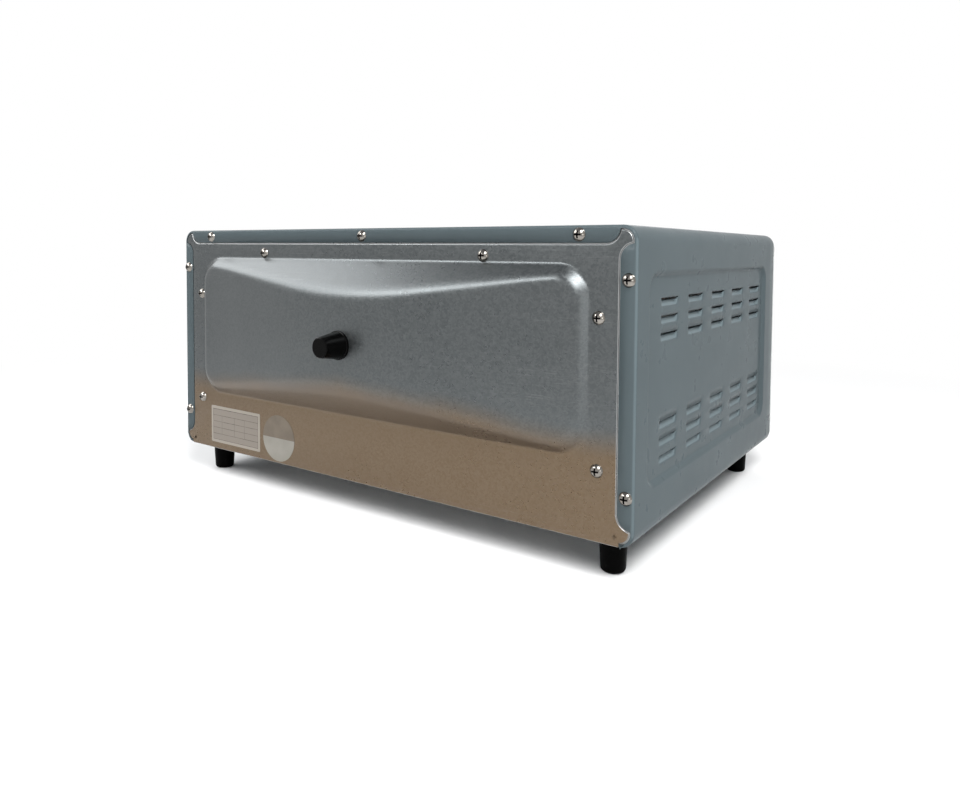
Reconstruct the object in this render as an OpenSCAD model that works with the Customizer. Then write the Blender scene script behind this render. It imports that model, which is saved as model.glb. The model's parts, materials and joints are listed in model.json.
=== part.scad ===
// Bench-top reflow oven: a toaster-oven body with quartz heaters above and below a wire rack.
// Front (door) faces -Y, the pressed rear panel faces +Y, feet stand on z = 0.

/* [Body] */
// Width over the side walls
body_w = 400; // [340:1:480]
// Depth from the casing's front edge to its rear flange
body_d = 291; // [250:1:360]
// Height of the casing without feet
body_h = 176.5; // [160:0.5:240]
// Thickness of casing, base and rear sheet
sheet_t = 0.8; // [0.6:0.1:1.2]
// Outer bend radius of the casing's top corners
corner_r = 9; // [5:0.5:12]
// Outer bend radius where the side walls turn under
hem_r = 9; // [5:0.5:12]
// Outer bend radius from the walls into the rear flange
bend_r = 1.8; // [1.5:0.1:2]
// Width of the flange turned in around the rear
flange_w = 9.8; // [9:0.1:14]
// Width of the return turned in under the side walls
return_w = 34; // [31:0.5:40]

/* [Side louvres] */
// Depth of the pressed field in each side wall
field_depth = 2.5; // [1.5:0.1:4]
// Corner radius of the field
field_r = 12; // [6:0.5:16]
// Field edge to rear flange
field_rear = 17.5; // [12:0.5:30]
// Field edge to front edge
field_front = 24.5; // [15:0.5:40]
// Field edge to the bottom of the casing
field_low = 28; // [24:0.5:34]
// Field edge to the top of the casing
field_top = 25.5; // [18:0.5:30]
// Louvres in a row
louvre_columns = 5; // [3:1:6]
// Louvres one above another in a block
louvre_rows = 3; // [2:1:3]
// Length of one louvre
louvre_l = 29; // [15:0.5:30]
// Height of the window behind one louvre
louvre_h = 5.2; // [4:0.1:6.5]
// Open slit above the tongue of a louvre
louvre_slit = 1.3; // [1:0.1:2]
// How far a tongue is pressed inwards
louvre_reach = 2.8; // [1.5:0.1:4]
// Distance between louvre columns
column_pitch = 46.5; // [34:0.5:48]
// Distance between louvre rows
row_pitch = 10.3; // [8:0.1:12]
// Rear column centre to rear flange
column_rear = 55.5; // [34:0.5:60]
// Lowest slit of the lower block above the casing's bottom
block_low = 42.3; // [36:0.1:50]
// Distance between the two blocks
block_pitch = 72.2; // [50:0.1:74]

/* [Rear panel] */
// Depth of the bulge at its middle
bulge_depth = 22; // [12:0.5:24]
// Corner radius of the bulge's outline
bulge_r = 20.8; // [12:0.1:26]
// Radius of the crown across the bulge's middle
crown_r = 470; // [400:5:600]
// Half width of the crown
crown_half = 58; // [40:1:64]
// Width at each end where the slope eases
bulge_flare = 48; // [35:1:55]
// Gap between bulge outline and cavity roof or floor
bulge_margin = 0.4; // [0:0.1:1.5]
// Width of the corner tongues
tongue_w = 7.6; // [5:0.1:9]
// Rounding of the flange ends beside a tongue
flange_end_r = 8.4; // [6:0.1:10]
// Gap between raised panel and flange
panel_gap = 0.7; // [0.4:0.1:1.2]
// Length of the rear spacer
spacer_l = 17; // [10:0.5:25]
// Diameter of the spacer at the panel
spacer_base_d = 19.4; // [16:0.5:26]
// Diameter of the spacer at its tip
spacer_tip_d = 13.4; // [9:0.2:15]

/* [Cavity] */
// Cavity wall to casing wall on each side
side_gap = 27.2; // [24:0.1:40]
// Cavity floor above the casing's bottom
floor_rise = 46; // [44:0.5:54]
// Cavity roof below the casing's top
roof_gap = 21.2; // [17:0.1:26]
// Thickness of the cavity sheets
liner_t = 0.6; // [0.5:0.1:1]
// Ledge width of the rack rails
rail_w = 5; // [4:0.5:7]
// Top of the rack rails above the cavity floor
rail_rise = 34; // [28:0.5:40]
// Height of the crumb tray's rim
crumb_h = 6; // [4:0.5:7]
// Wall of the crumb tray
crumb_t = 0.6; // [0.5:0.1:0.8]

/* [Heaters] */
// Diameter of a quartz tube
tube_d = 10; // [8:0.5:12]
// Wall of a quartz tube
tube_wall = 1.2; // [0.8:0.1:1.6]
// Diameter of a ceramic end cap
cap_d = 14; // [13.5:0.5:16]
// Diameter of an end cap's collar
collar_d = 18; // [17:0.5:20]
// Lower tube axis above the cavity floor
low_tube_rise = 15; // [14.5:0.5:19]
// Upper tube axis below the cavity roof
high_tube_drop = 13; // [10:0.5:18]
// Distance between the two tubes of a level
tube_pitch = 130; // [90:1:160]

/* [Rack and tray] */
// Diameter of the rack's border wire
border_d = 5; // [4:0.5:6]
// Diameter of the rack's cross wires
wire_d = 3; // [2:0.5:4]
// Number of cross wires
wire_count = 13; // [7:1:17]
// Depth of the rack, front to back
rack_d = 258; // [200:1:270]
// Width of the baking tray over its rim
tray_w = 310; // [200:1:318]
// Depth of the baking tray over its rim
tray_d = 240; // [160:1:246]
// Height of the baking tray
tray_h = 14; // [8:0.5:20]
// Wall of the baking tray
tray_t = 0.8; // [0.6:0.1:1.2]
// Width of the baking tray's rim
tray_rim = 7; // [4:0.5:10]

/* [Front] */
// Thickness of the front frame
frame_t = 2; // [1.5:0.1:3]
// Corner radius of the front frame
frame_r = 10.5; // [9:0.5:14]
// Thickness of the control strip
strip_t = 1; // [0.8:0.1:1.6]
// Control strip to the casing's bottom and sides
strip_margin = 5; // [4:0.5:7]
// Height of the control strip
strip_h = 35; // [32:0.5:36]
// Distance between the control knobs
knob_pitch = 96; // [60:1:110]
// Diameter of a knob's grip
knob_d = 25; // [20:0.5:27]
// Diameter of a knob's skirt
skirt_d = 29; // [28:0.5:31]
// Height of a knob
knob_h = 17; // [12:0.5:22]
// Diameter of a control shaft
shaft_d = 6; // [5:0.5:7]

/* [Door] */
// Thickness of the door, which is also the width of its round lower edge
door_t = 12; // [10:0.5:16]
// Gap between door and front frame
door_gap = 1; // [0.6:0.1:2]
// Door edge to casing side
door_margin = 9; // [8:0.5:14]
// Door edge to casing top
door_top_gap = 8; // [6:0.5:12]
// Width of the door's stiles and upper rail
stile_w = 22; // [19:0.5:30]
// Width of the door's lower rail above the hinge axis
low_rail_w = 14; // [12:0.5:20]
// Thickness of the door glass
glass_t = 4; // [3:0.5:5]
// Overlap of the glass behind the door frame
glass_lap = 6; // [3:0.5:8]
// Radius of a hinge pin
pin_r = 2.5; // [2:0.1:3]
// Running clearance of a hinge pin
pin_clear = 0.08; // [0.05:0.01:0.1]
// Length of a hinge pin inside the door
pin_in = 12; // [8:0.5:16]
// Reach of the handle from the door
handle_reach = 34; // [30:0.5:42]
// Diameter of the handle bar
bar_d = 12; // [10:0.5:14]
// Length of the handle bar
bar_l = 290; // [200:1:310]

/* [Feet and fasteners] */
// Height of a foot below the casing
foot_h = 22.5; // [15:0.5:35]
// Diameter of a foot at its top
foot_top_d = 17.2; // [14:0.2:19]
// Diameter of a foot at the bottom
foot_low_d = 14.8; // [11:0.2:17]
// Foot axis to the casing's side
foot_side = 21.2; // [21:0.1:30]
// Foot axis to the rear flange
foot_rear = 21.5; // [18:0.1:35]
// Foot axis to the casing's front edge
foot_front = 23.7; // [18:0.1:35]
// Head diameter of the casing screws
head_d = 8; // [7:0.1:8.6]
// Head height of the casing screws
head_h = 2.6; // [2:0.1:3]
// Shank diameter of the casing screws
shank_d = 4; // [3:0.1:4.2]
// Shank length of the casing screws
shank_l = 8; // [6:0.5:9]

/* [Hidden] */
$fn = 48;

// --- Frame of the whole oven: its box is centred on the origin in plan, feet on z = 0
rear_reach = bulge_depth + spacer_l;
front_reach = frame_t + door_gap + door_t + handle_reach;
rear_y = (body_d + front_reach + rear_reach) / 2 - rear_reach;
front_y = rear_y - body_d;
side_x = body_w / 2;
low_z = foot_h;
top_z = foot_h + body_h;
eps = 0.01;
cut = 1;
fit = 0.3;
hole_clear = 0.15;
screw_seat = 0.05;
bore_clear = 0.05;
panel_seat = 0.2;
sheet_hole_r = shank_d / 2 + hole_clear;

// --- Rear of the casing
flange_x = side_x - flange_w;
flange_z = top_z - flange_w;
panel_y = rear_y - 2 * sheet_t;
tongue_tip_gap = 1.9;
tongue_round = 0.9;
tip_step = 2;

// --- Base plate and bushing
base_x = side_x - hem_r - fit;
base_slot_l = 30;
base_slot_w = 3.5;
base_slot_pitch = 34;
base_slot_rows = 60;
bushing_hole_d = 14;
bushing_bore_r = 4;
bushing_flange_r = 9;
bushing_side = 62;
bushing_x = side_x - bushing_side;
bushing_y = rear_y - 32;

// --- Feet
foot_x = side_x - foot_side;
foot_y = [front_y + foot_front, rear_y - foot_rear];
foot_edge = 2;
foot_well = 12;
foot_screw_d = 3;
foot_head_d = 6;
foot_head_h = 2;
foot_head_clear = 0.4;

// --- Cavity
cav_x = side_x - side_gap;
cav_low = low_z + floor_rise;
cav_top = top_z - roof_gap;
cav_back = panel_y;
cav_front = front_y + sheet_t;
cav_mid_y = (cav_back + cav_front) / 2;
side_sheet_low = low_z + 2 * sheet_t + fit;
lip_w = 9;
lip_relief = 3;
side_lip = 6;
cooling_slot = [18, 4];
cooling_slot_drop = 24;
cooling_slot_pitch = 30;
crumb_x = cav_x - 3;
crumb_front = cav_front + 5;
crumb_rear = cav_back - 4;
crumb_grip = 60;
base_front_rise = 5;
base_rear_rise = 9;
lip_low = low_z + sheet_t + base_rear_rise + 2;
rail_top = cav_low + rail_rise;
rail_lip = 2;

// --- Bulge
bulge_w = 2 * cav_x;
bulge_h = cav_top - cav_low - 2 * bulge_margin;
bulge_mid_z = (cav_top + cav_low) / 2;
bulge_end_slope = 0.05;
crown_slope = crown_half / crown_r;
bulge_shrink = 2 * (sqrt(2) - 1) * sheet_t;
spacer_z = bulge_mid_z - 2;
spacer_lip = 1.4;
spacer_step = 0.5;
spacer_screw_l = 8;

// --- Heaters
low_tube_z = cav_low + low_tube_rise;
high_tube_z = cav_top - high_tube_drop;
tube_front_y = cav_mid_y - tube_pitch / 2;
tube_rear_y = cav_mid_y + tube_pitch / 2;
cap_in = 7;
cap_out = 8;
collar_t = 3;
tube_seat = 5;
tube_clear = 0.1;
terminal_l = 7;
terminal_d = 3;
terminal_washer_d = 7;
tab_w = 6.2;
tab_t = 0.8;

// --- Rack and tray
rack_x = cav_x - 1.5;
rack_z = rail_top + fit + border_d / 2;
rack_front = cav_front + 6;
rack_rear = rack_front + rack_d;
tray_z = rack_z + wire_d / 2 + fit;
tray_mid_y = (rack_front + rack_rear) / 2;
tray_r = 22;
rack_bend = 10;

// --- Door; its lower edge is a half round about the hinge axis
door_x = side_x - door_margin;
hinge_y = front_y - frame_t - door_gap - door_t / 2;
hinge_z = cav_low + 1 + door_t / 2;
door_top = top_z - door_top_gap;
door_front = hinge_y - door_t / 2;
door_back = hinge_y + door_t / 2;
window_x = door_x - stile_w;
window_low = hinge_z + low_rail_w;
window_top = door_top - stile_w;
window_r = 6;
skin_t = 2;
retainer_t = 1.2;
retainer_frame = 2;
door_r = 8;
glass_y = door_front + skin_t;
handle_y = door_front - handle_reach + bar_d / 2;
handle_z = door_top - (stile_w - glass_lap) / 2;
post_x = bar_l / 2 - 22;
post_d = 9;
post_foot_d = 14;
post_foot_h = 3;
handle_screw_r = 2;
handle_screw_l = 16;
bracket_t = 2.5;
bracket_gap = 0.5;
bracket_x = door_x + bracket_gap + bracket_t;
spring_coil_r = 4.2;
spring_wire_r = 0.6;
spring_turns = 6;
spring_y = front_y + 34;
spring_z = hinge_z - 22;

// --- Controls
strip_y = front_y - frame_t - strip_t;
strip_x = side_x - strip_margin;
strip_low = low_z + strip_margin;
knob_z = strip_low + strip_h / 2;
knob_gap = 1;
knob_back = strip_y - knob_gap;
thread_r = shaft_d / 2 + 2;
shaft_hole_r = thread_r + 0.2;
shaft_clear = 0.08;
shaft_flat = 1;
shaft_in_knob = shaft_d;
shaft_in_body = 7.5;
nut_af = 2 * thread_r + 2.7;
nut_h = 0.8;
control_back = front_y + sheet_t + 1;
skirt_h = 3;
knob_crown_h = 1.5;
knob_taper = 3;
pointer_w = 2.4;
flute_d = 5;
can = [32, 28, 22];
switch_d = 30;
switch_h = 18;
timer = [36, 32, 26];
bell_d = 30;
lamp_d = 9;
lamp_rim = 1.3;
lamp_l = 14;
lamp_x = lamp_d / 2 + 12.8 - cav_x;
cutout_x = 60;
bulb_d = 5;
bulb_l = 70;
bulb_clip = [8, 10];
bulb_z = cav_top - 30;
bulb_x = cav_x + liner_t + bulb_d / 2 + 1;

// --- Fasteners around the rear
top_screw_x = 165;
top_screw_z = top_z - 5.3;
edge_screw_x = side_x - 5;
edge_screw_high = top_z - 30;
edge_screw_low = low_z + 28;
inner_high_x = 100.3;
inner_high_z = cav_top + 2.9 + liner_t;
inner_side_x = cav_x + 4.2 + liner_t;
inner_side_high = cav_top - 30;
inner_side_low = cav_low - 5.7;
base_screw_in = 60;
base_screw_y = [front_y + base_screw_in, rear_y - base_screw_in];
base_screw_x = side_x - foot_side;
base_screw_l = 0.75 * shank_l;
base_head_h = head_h - 0.4;

// Plates: an outline of (y, z), (x, z) or (x, y) given its place and thickness
module plate_x(x0, t) translate([x0, 0, 0]) rotate([90, 0, 90]) linear_extrude(t) children();
module plate_y(y0, t) translate([0, y0 + t, 0]) rotate([90, 0, 0]) linear_extrude(t) children();
module plate_z(z0, t) translate([0, 0, z0]) linear_extrude(t) children();

// Rectangle between two corners
module rect(a, b) translate(a) square([b[0] - a[0], b[1] - a[1]]);

// Rectangle between two corners with round corners
module round_rect(a, b, r) {
    rect([a[0] + r, a[1]], [b[0] - r, b[1]]);
    rect([a[0], a[1] + r], [b[0], b[1] - r]);
    for (x = [a[0] + r, b[0] - r], y = [a[1] + r, b[1] - r]) translate([x, y]) circle(r);
}

// Box between two corners
module block(a, b) translate(a) cube([b[0] - a[0], b[1] - a[1], b[2] - a[2]]);

// Both halves of a mirrored pair
module both_sides() {
    children();
    mirror([1, 0, 0]) children();
}

// A press with 45 degree walls: base w by h in the XY plane, corner radius r, depth d
module pressing(w, h, r, d) {
    difference() {
        intersection() {
            translate([0, h / 2, 0]) rotate([90, 0, 0]) linear_extrude(h)
                polygon([[-w / 2, 0], [w / 2, 0], [w / 2 - d, d], [d - w / 2, d]]);
            translate([-w / 2, 0, 0]) rotate([90, 0, 90]) linear_extrude(w)
                polygon([[-h / 2, 0], [h / 2, 0], [h / 2 - d, d], [d - h / 2, d]]);
        }
        for (sx = [-1, 1], sy = [-1, 1]) translate([sx * (w / 2 - r), sy * (h / 2 - r), 0])
            difference() {
                translate([sx > 0 ? 0 : -r - 1, sy > 0 ? 0 : -r - 1, -1]) cube([r + 1, r + 1, d + 2]);
                translate([0, 0, -1]) cylinder(h = r + 1, r1 = r + 1, r2 = 0);
            }
    }
}

// Pan-head screw along +Z: head above z = 0, shank below, cross recess in the head
module pan_screw(hd = head_d, hh = head_h, sd = shank_d, sl = shank_l) {
    dome_r = (hd * hd / 4 + hh * hh) / (2 * hh);
    cross_w = hd * 0.13;
    difference() {
        union() {
            intersection() {
                translate([0, 0, hh - dome_r]) sphere(dome_r);
                cylinder(h = hh, d = hd);
            }
            translate([0, 0, -sl]) cylinder(h = sl + eps, d = sd);
        }
        for (a = [0, 90]) rotate(a)
            translate([-hd * 0.27, -cross_w / 2, hh * 0.45]) cube([hd * 0.54, cross_w, hh]);
    }
}

// Points along a circle from angle a0 to a1
function arc(c, r, a0, a1, steps = 10) =
    [for (i = [0:steps]) let (a = a0 + (a1 - a0) * i / steps) [c[0] + r * cos(a), c[1] + r * sin(a)]];

// Point where circles of radius a round p and b round q meet, left of the way from p to q
function meet(p, a, q, b) =
    let (d = norm(q - p), u = (q - p) / d, l = (a * a - b * b + d * d) / (2 * d), h = sqrt(a * a - l * l))
    [p[0] + l * u[0] - h * u[1], p[1] + l * u[1] + h * u[0]];

function angle_of(v) = (atan2(v[1], v[0]) + 450) % 360 - 90;

// Corner tongue grown by g; its origin is the corner of the flange's inner edge. The flange
// ends beside it are round, and the tip is concentric with the casing's corner.
tongue_end = [flange_end_r - sqrt(2) * (flange_end_r + tongue_w / 2), flange_end_r];
tongue_mid = [flange_w - corner_r, flange_w - corner_r];
function tongue_tip_r(g) = corner_r - tongue_tip_gap + g;
function tongue_turn(g) = max(tongue_round + g, tongue_round / 4);
function turn_centre(g) =
    meet(tongue_end, flange_end_r - g + tongue_turn(g), tongue_mid, tongue_tip_r(g) - tongue_turn(g));

// From the flange's edge to the tip
function tongue_side(g) =
    let (m = turn_centre(g))
    concat(
        arc(tongue_end, flange_end_r - g, -90, angle_of(m - tongue_end)),
        arc(m, tongue_turn(g), angle_of(tongue_end - m), angle_of(m - tongue_mid), 5)
    );

// From one side's end to the other's
function tongue_tip(g) =
    let (a = angle_of(turn_centre(g) - tongue_mid) - tip_step, r = tongue_tip_r(g))
    arc(tongue_mid, r, a, 90 - a);

function swapped(points) = [for (i = [len(points) - 1:-1:0]) [points[i][1], points[i][0]]];

// Opening inside the rear flange, grown by g: the raised part of the rear panel follows it.
// There is no flange along the bottom, so the lower tongues end straight below their tips.
module flange_opening(g) {
    side = swapped(tongue_side(g));
    tip = tongue_tip(g);
    upper = concat(tongue_side(g), tip, side);
    lower = [for (i = [len(tip) + len(side) - 1:-1:0]) i < len(tip) ? tip[i] : side[i - len(tip)]];
    drop_x = flange_x + tongue_tip(0)[0][0] + g;
    drop = concat(g == 0 ? [] : [[drop_x, low_z + flange_w - tip[0][1]]], [[drop_x, low_z - cut]]);
    right = concat([for (p = upper) [flange_x + p[0], flange_z + p[1]]],
                   [for (p = lower) [flange_x + p[0], low_z + flange_w - p[1]]], drop);
    polygon(concat(right, [for (i = [len(right) - 1:-1:0]) [-right[i][0], right[i][1]]]));
}

// --- Casing
module casing_outline(inset) {
    r_top = corner_r - inset;
    r_low = hem_r - inset;
    x = side_x - inset;
    rect([-x, low_z + inset + r_low], [x, top_z - inset - r_top]);
    rect([-x + r_top, low_z + inset + r_low], [x - r_top, top_z - inset]);
    rect([-x + r_low, low_z + inset], [x - r_low, top_z - inset - r_top]);
    for (sx = [-1, 1]) {
        translate([sx * (x - r_top), top_z - inset - r_top]) circle(r_top);
        translate([sx * (x - r_low), low_z + inset + r_low]) circle(r_low);
    }
}

// Cylinder along +Y whose far end is rounded
module round_post(r, bend, l) rotate([-90, 0, 0]) rotate_extrude() {
    rect([0, 0], [r, l - bend]);
    rect([0, 0], [r - bend, l]);
    translate([r - bend, l - bend]) intersection() {
        circle(bend);
        square(bend);
    }
}

// Plate outline with one rounded far corner, from 0 to (l, w)
module bent_end(l, w, bend) {
    rect([0, 0], [l - bend, w]);
    rect([0, 0], [l, w - bend]);
    translate([l - bend, w - bend]) circle(bend);
}

// Casing as a closed form, set in by inset, with its walls bent into the rear plane
module casing_form(inset) {
    y0 = front_y + inset;
    l = body_d - 2 * inset;
    bend = bend_r - inset;
    x = side_x - inset;
    r_top = corner_r - inset;
    r_low = hem_r - inset;
    z0 = low_z + inset;
    z1 = top_z - inset;
    translate([0, y0, 0]) {
        plate_x(-x + r_top, 2 * (x - r_top)) translate([0, z0 + r_low]) bent_end(l, z1 - z0 - r_low, bend);
        plate_x(-x + r_low, 2 * (x - r_low)) translate([0, z0 + r_low]) mirror([0, 1])
            bent_end(l, r_low, bend);
        both_sides() translate([0, 0, z0 + r_low]) linear_extrude(z1 - r_top - z0 - r_low)
            mirror([1, -1]) bent_end(l, x, bend);
        for (sx = [-1, 1]) {
            translate([sx * (x - r_top), 0, z1 - r_top]) round_post(r_top, bend, l);
            translate([sx * (x - r_low), 0, z0 + r_low]) round_post(r_low, bend, l);
        }
    }
}

// The pressed field in the left wall; skin = sheet_t gives the sheet's inner side
module side_field(skin) {
    w = body_d - field_rear - field_front;
    h = body_h - field_low - field_top;
    grow = skin * sqrt(2);
    translate([-side_x, rear_y - field_rear - w / 2, low_z + field_low + h / 2])
        rotate([90, 0, 90]) pressing(w + 2 * grow, h + 2 * grow, field_r + grow, field_depth + skin);
}

function louvre_y(i) = rear_y - column_rear - i * column_pitch;
function louvre_z(b, j) = low_z + block_low + b * block_pitch + j * row_pitch;

// Windows behind the louvres, as an outline of (y, z)
module louvre_windows() {
    for (i = [0:louvre_columns - 1], b = [0, 1], j = [0:louvre_rows - 1])
        translate([louvre_y(i) - louvre_l / 2, louvre_z(b, j) - louvre_h]) square([louvre_l, louvre_h]);
}

// One louvre: the sheet stays joined along its lower edge and ends, and leans inwards at the top
module louvre(y, z) {
    x0 = -side_x + field_depth;
    low = z - louvre_h;
    tip = louvre_h - louvre_slit;
    plate_y(y - louvre_l / 2, louvre_l)
        polygon([
            [x0, low - eps], [x0 + sheet_t, low - eps],
            [x0 + louvre_reach + sheet_t, low + tip], [x0 + louvre_reach, low + tip]
        ]);
    for (e = [y - louvre_l / 2 - eps, y + louvre_l / 2 - sheet_t + eps])
        plate_y(e, sheet_t) polygon([
            [x0, low - eps], [x0 + sheet_t, low - eps],
            [x0 + louvre_reach + sheet_t, low + tip], [x0 + sheet_t, z], [x0, z]
        ]);
}

// Screw holes of feet and base, through the returns and the base plate
module base_holes() translate([0, 0, low_z - cut]) linear_extrude(2 * sheet_t + 2 * cut) {
    for (sx = [-1, 1], y = base_screw_y) translate([sx * base_screw_x, y]) circle(sheet_hole_r);
    for (sx = [-1, 1], y = foot_y) translate([sx * foot_x, y]) circle(foot_screw_d / 2 + hole_clear);
}

module rear_ring_holes(r, depth) {
    for (x = [-top_screw_x, 0, top_screw_x]) translate([x, 0, top_screw_z]) rear_hole(r, depth);
    for (sx = [-1, 1], z = [edge_screw_low, edge_screw_high])
        translate([sx * edge_screw_x, 0, z]) rear_hole(r, depth);
}

module rear_hole(r, depth) translate([0, rear_y + cut, 0]) rotate([90, 0, 0])
    cylinder(h = depth + cut, r = r);

module outer_casing() color("slategray") {
    difference() {
        casing_form(0);
        difference() {
            casing_form(sheet_t);
            both_sides() side_field(sheet_t);
        }
        both_sides() side_field(0);
        // open underside inside the returns
        block([-side_x + return_w, front_y - cut, low_z - cut],
              [side_x - return_w, rear_y + cut, low_z + sheet_t + eps]);
        plate_y(rear_y - sheet_t - eps, sheet_t + cut) flange_opening(0);
        block([hem_r - side_x, panel_y - fit, low_z - cut],
              [side_x - hem_r, rear_y + cut, low_z + bend_r + eps]);
        plate_y(front_y - cut, sheet_t + cut + eps)
            rect([-side_x + flange_w, low_z - cut], [side_x - flange_w, top_z - flange_w]);
        both_sides() plate_x(-side_x - cut, field_depth + sheet_t + 2 * cut) louvre_windows();
        rear_ring_holes(sheet_hole_r, 2 * sheet_t + cut);
        base_holes();
    }
    both_sides() for (i = [0:louvre_columns - 1], b = [0, 1], j = [0:louvre_rows - 1])
        louvre(louvre_y(i), louvre_z(b, j));
}

// --- Rear panel
function bulge_at(x, half) =
    let (a = abs(x), ease = half - bulge_flare, u = a - ease)
    a <= crown_half ? bulge_depth - a * a / (2 * crown_r) :
    let (d1 = bulge_depth - crown_slope * crown_half / 2)
    a <= ease ? d1 - crown_slope * (a - crown_half) :
    d1 - crown_slope * (ease - crown_half) - crown_slope * u
        + (crown_slope - bulge_end_slope) * u * u / (2 * bulge_flare);

// The bulge as a closed form on the rear plane, reduced by shrink
module bulge(shrink) {
    w = bulge_w - shrink;
    steps = 36;
    translate([0, 0, bulge_mid_z]) rotate([-90, 0, 0]) intersection() {
        pressing(w, bulge_h - shrink, bulge_r - shrink / 2, bulge_depth);
        translate([0, bulge_h / 2, 0]) rotate([90, 0, 0]) linear_extrude(bulge_h)
            polygon(concat([[w / 2, 0], [-w / 2, 0]],
                [for (i = [0:steps]) let (x = -w / 2 + w * i / steps) [x, bulge_at(x, bulge_w / 2)]]));
    }
}

module rear_panel() color("darkgray") difference() {
    union() {
        plate_y(panel_y, sheet_t) panel_outline();
        plate_y(panel_y, 2 * sheet_t) flange_opening_trimmed(-panel_gap);
        translate([0, rear_y, 0]) bulge(0);
    }
    // the raised field and the bulge are pressed, so the back is hollow
    plate_y(panel_y - cut, sheet_t + cut) intersection() {
        flange_opening_trimmed(-panel_gap - sheet_t);
        rect([-flange_x + 2, low_z + flange_w], [flange_x - 2, flange_z - 2]);
    }
    translate([0, panel_y + sheet_t - eps, 0]) bulge(bulge_shrink);
    rear_ring_holes(sheet_hole_r, 2 * sheet_t + cut);
    inner_ring_holes(sheet_hole_r, 2 * sheet_t + cut);
    translate([0, rear_y + bulge_depth + cut, spacer_z]) rotate([90, 0, 0])
        cylinder(h = sheet_t + 2 * cut, r = sheet_hole_r);
}

// Fits inside the casing's bends; the lower edge hangs down behind the ends of the returns
module panel_outline() {
    casing_outline(bend_r + fit);
    rect([hem_r + fit - side_x, low_z + panel_seat], [side_x - hem_r - fit, low_z + flange_w]);
}

module flange_opening_trimmed(g) intersection() {
    flange_opening(g);
    panel_outline();
}

module inner_ring_holes(r, depth) {
    for (sx = [-1, 1]) {
        translate([sx * inner_high_x, 0, inner_high_z]) rear_hole(r, depth);
        for (z = [inner_side_low, inner_side_high]) translate([sx * inner_side_x, 0, z]) rear_hole(r, depth);
    }
}

module casing_screws() color("silver") {
    for (x = [-top_screw_x, 0, top_screw_x]) rear_screw(x, top_screw_z);
    for (sx = [-1, 1], z = [edge_screw_low, edge_screw_high]) rear_screw(sx * edge_screw_x, z);
}

module rear_panel_screws() color("silver") for (sx = [-1, 1]) {
    rear_screw(sx * inner_high_x, inner_high_z);
    for (z = [inner_side_low, inner_side_high]) rear_screw(sx * inner_side_x, z);
}

module rear_screw(x, z) translate([x, rear_y, z]) rotate([-90, 0, 0]) pan_screw();

// Tapered moulded spacer with a thin lip; a blind bore takes its screw from inside
module rear_spacer() color("black") translate([0, rear_y + bulge_depth, spacer_z]) rotate([-90, 0, 0])
    difference() {
        rotate_extrude() polygon([
            [0, 0], [spacer_base_d / 2, 0], [spacer_base_d / 2, spacer_lip],
            [spacer_base_d / 2 - spacer_step, spacer_lip + spacer_step / 2],
            [spacer_tip_d / 2 + spacer_step / 4, spacer_l - spacer_step],
            [spacer_tip_d / 2 - spacer_step, spacer_l], [0, spacer_l]
        ]);
        translate([0, 0, -cut]) cylinder(h = spacer_screw_l + 2 * cut, r = shank_d / 2 + bore_clear);
    }

module spacer_screw() color("silver")
    translate([0, rear_y + bulge_depth - sheet_t - screw_seat, spacer_z]) rotate([90, 0, 0])
        pan_screw(sl = sheet_t + spacer_screw_l);

// --- Base plate: a tray that stands on the casing's returns
module base_plate() color("gray") difference() {
    y0 = front_y + sheet_t + fit;
    y1 = panel_y - fit;
    z0 = low_z + sheet_t;
    union() {
        plate_z(z0, sheet_t) rect([-base_x, y0], [base_x, y1]);
        plate_y(y0, sheet_t) rect([-base_x, z0], [base_x, z0 + base_front_rise]);
        plate_y(y1 - sheet_t, sheet_t) rect([-base_x, z0], [base_x, z0 + base_rear_rise]);
    }
    for (i = [-4:4], j = [-1:1]) translate([i * base_slot_pitch, cav_mid_y + j * base_slot_rows, z0 - cut])
        linear_extrude(sheet_t + 2 * cut) base_slot();
    base_holes();
    translate([bushing_x, bushing_y, z0 - cut]) cylinder(h = sheet_t + 2 * cut, d = bushing_hole_d);
}

module base_slot() round_rect([-base_slot_w / 2, -base_slot_l / 2], [base_slot_w / 2, base_slot_l / 2],
                              base_slot_w / 2 - bore_clear);

// Rubber bushing in the base where the mains lead enters
module cord_bushing() color("black") translate([bushing_x, bushing_y, low_z + sheet_t]) {
    neck_r = bushing_hole_d / 2 - tube_clear;
    rim = 0.5;
    below = -3;
    above = sheet_t + 2.5;
    rotate_extrude() polygon([
        [bushing_bore_r, below], [bushing_flange_r, below], [bushing_flange_r + rim, below + rim],
        [bushing_flange_r + rim, -tube_clear], [neck_r, -tube_clear], [neck_r, sheet_t + tube_clear],
        [bushing_flange_r - rim, sheet_t + tube_clear], [bushing_flange_r - 2 * rim, above],
        [bushing_bore_r, above]
    ]);
}

// --- Feet
module foot(sx, y) color("dimgray") translate([sx * foot_x, y, 0]) difference() {
    rotate_extrude() {
        polygon([
            [0, 0], [foot_low_d / 2 - foot_edge, 0], [foot_low_d / 2, foot_edge],
            [foot_top_d / 2, foot_h], [0, foot_h]
        ]);
        translate([foot_low_d / 2 - foot_edge, foot_edge]) circle(foot_edge - bore_clear / 2);
    }
    translate([0, 0, -cut]) cylinder(h = foot_well + cut, r = foot_head_d / 2 + foot_head_clear);
    translate([0, 0, -cut]) cylinder(h = foot_h + 2 * cut, r = foot_screw_d / 2 + hole_clear);
}

module foot_front_left() foot(-1, foot_y[0]);
module foot_front_right() foot(1, foot_y[0]);
module foot_rear_left() foot(-1, foot_y[1]);
module foot_rear_right() foot(1, foot_y[1]);

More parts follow.
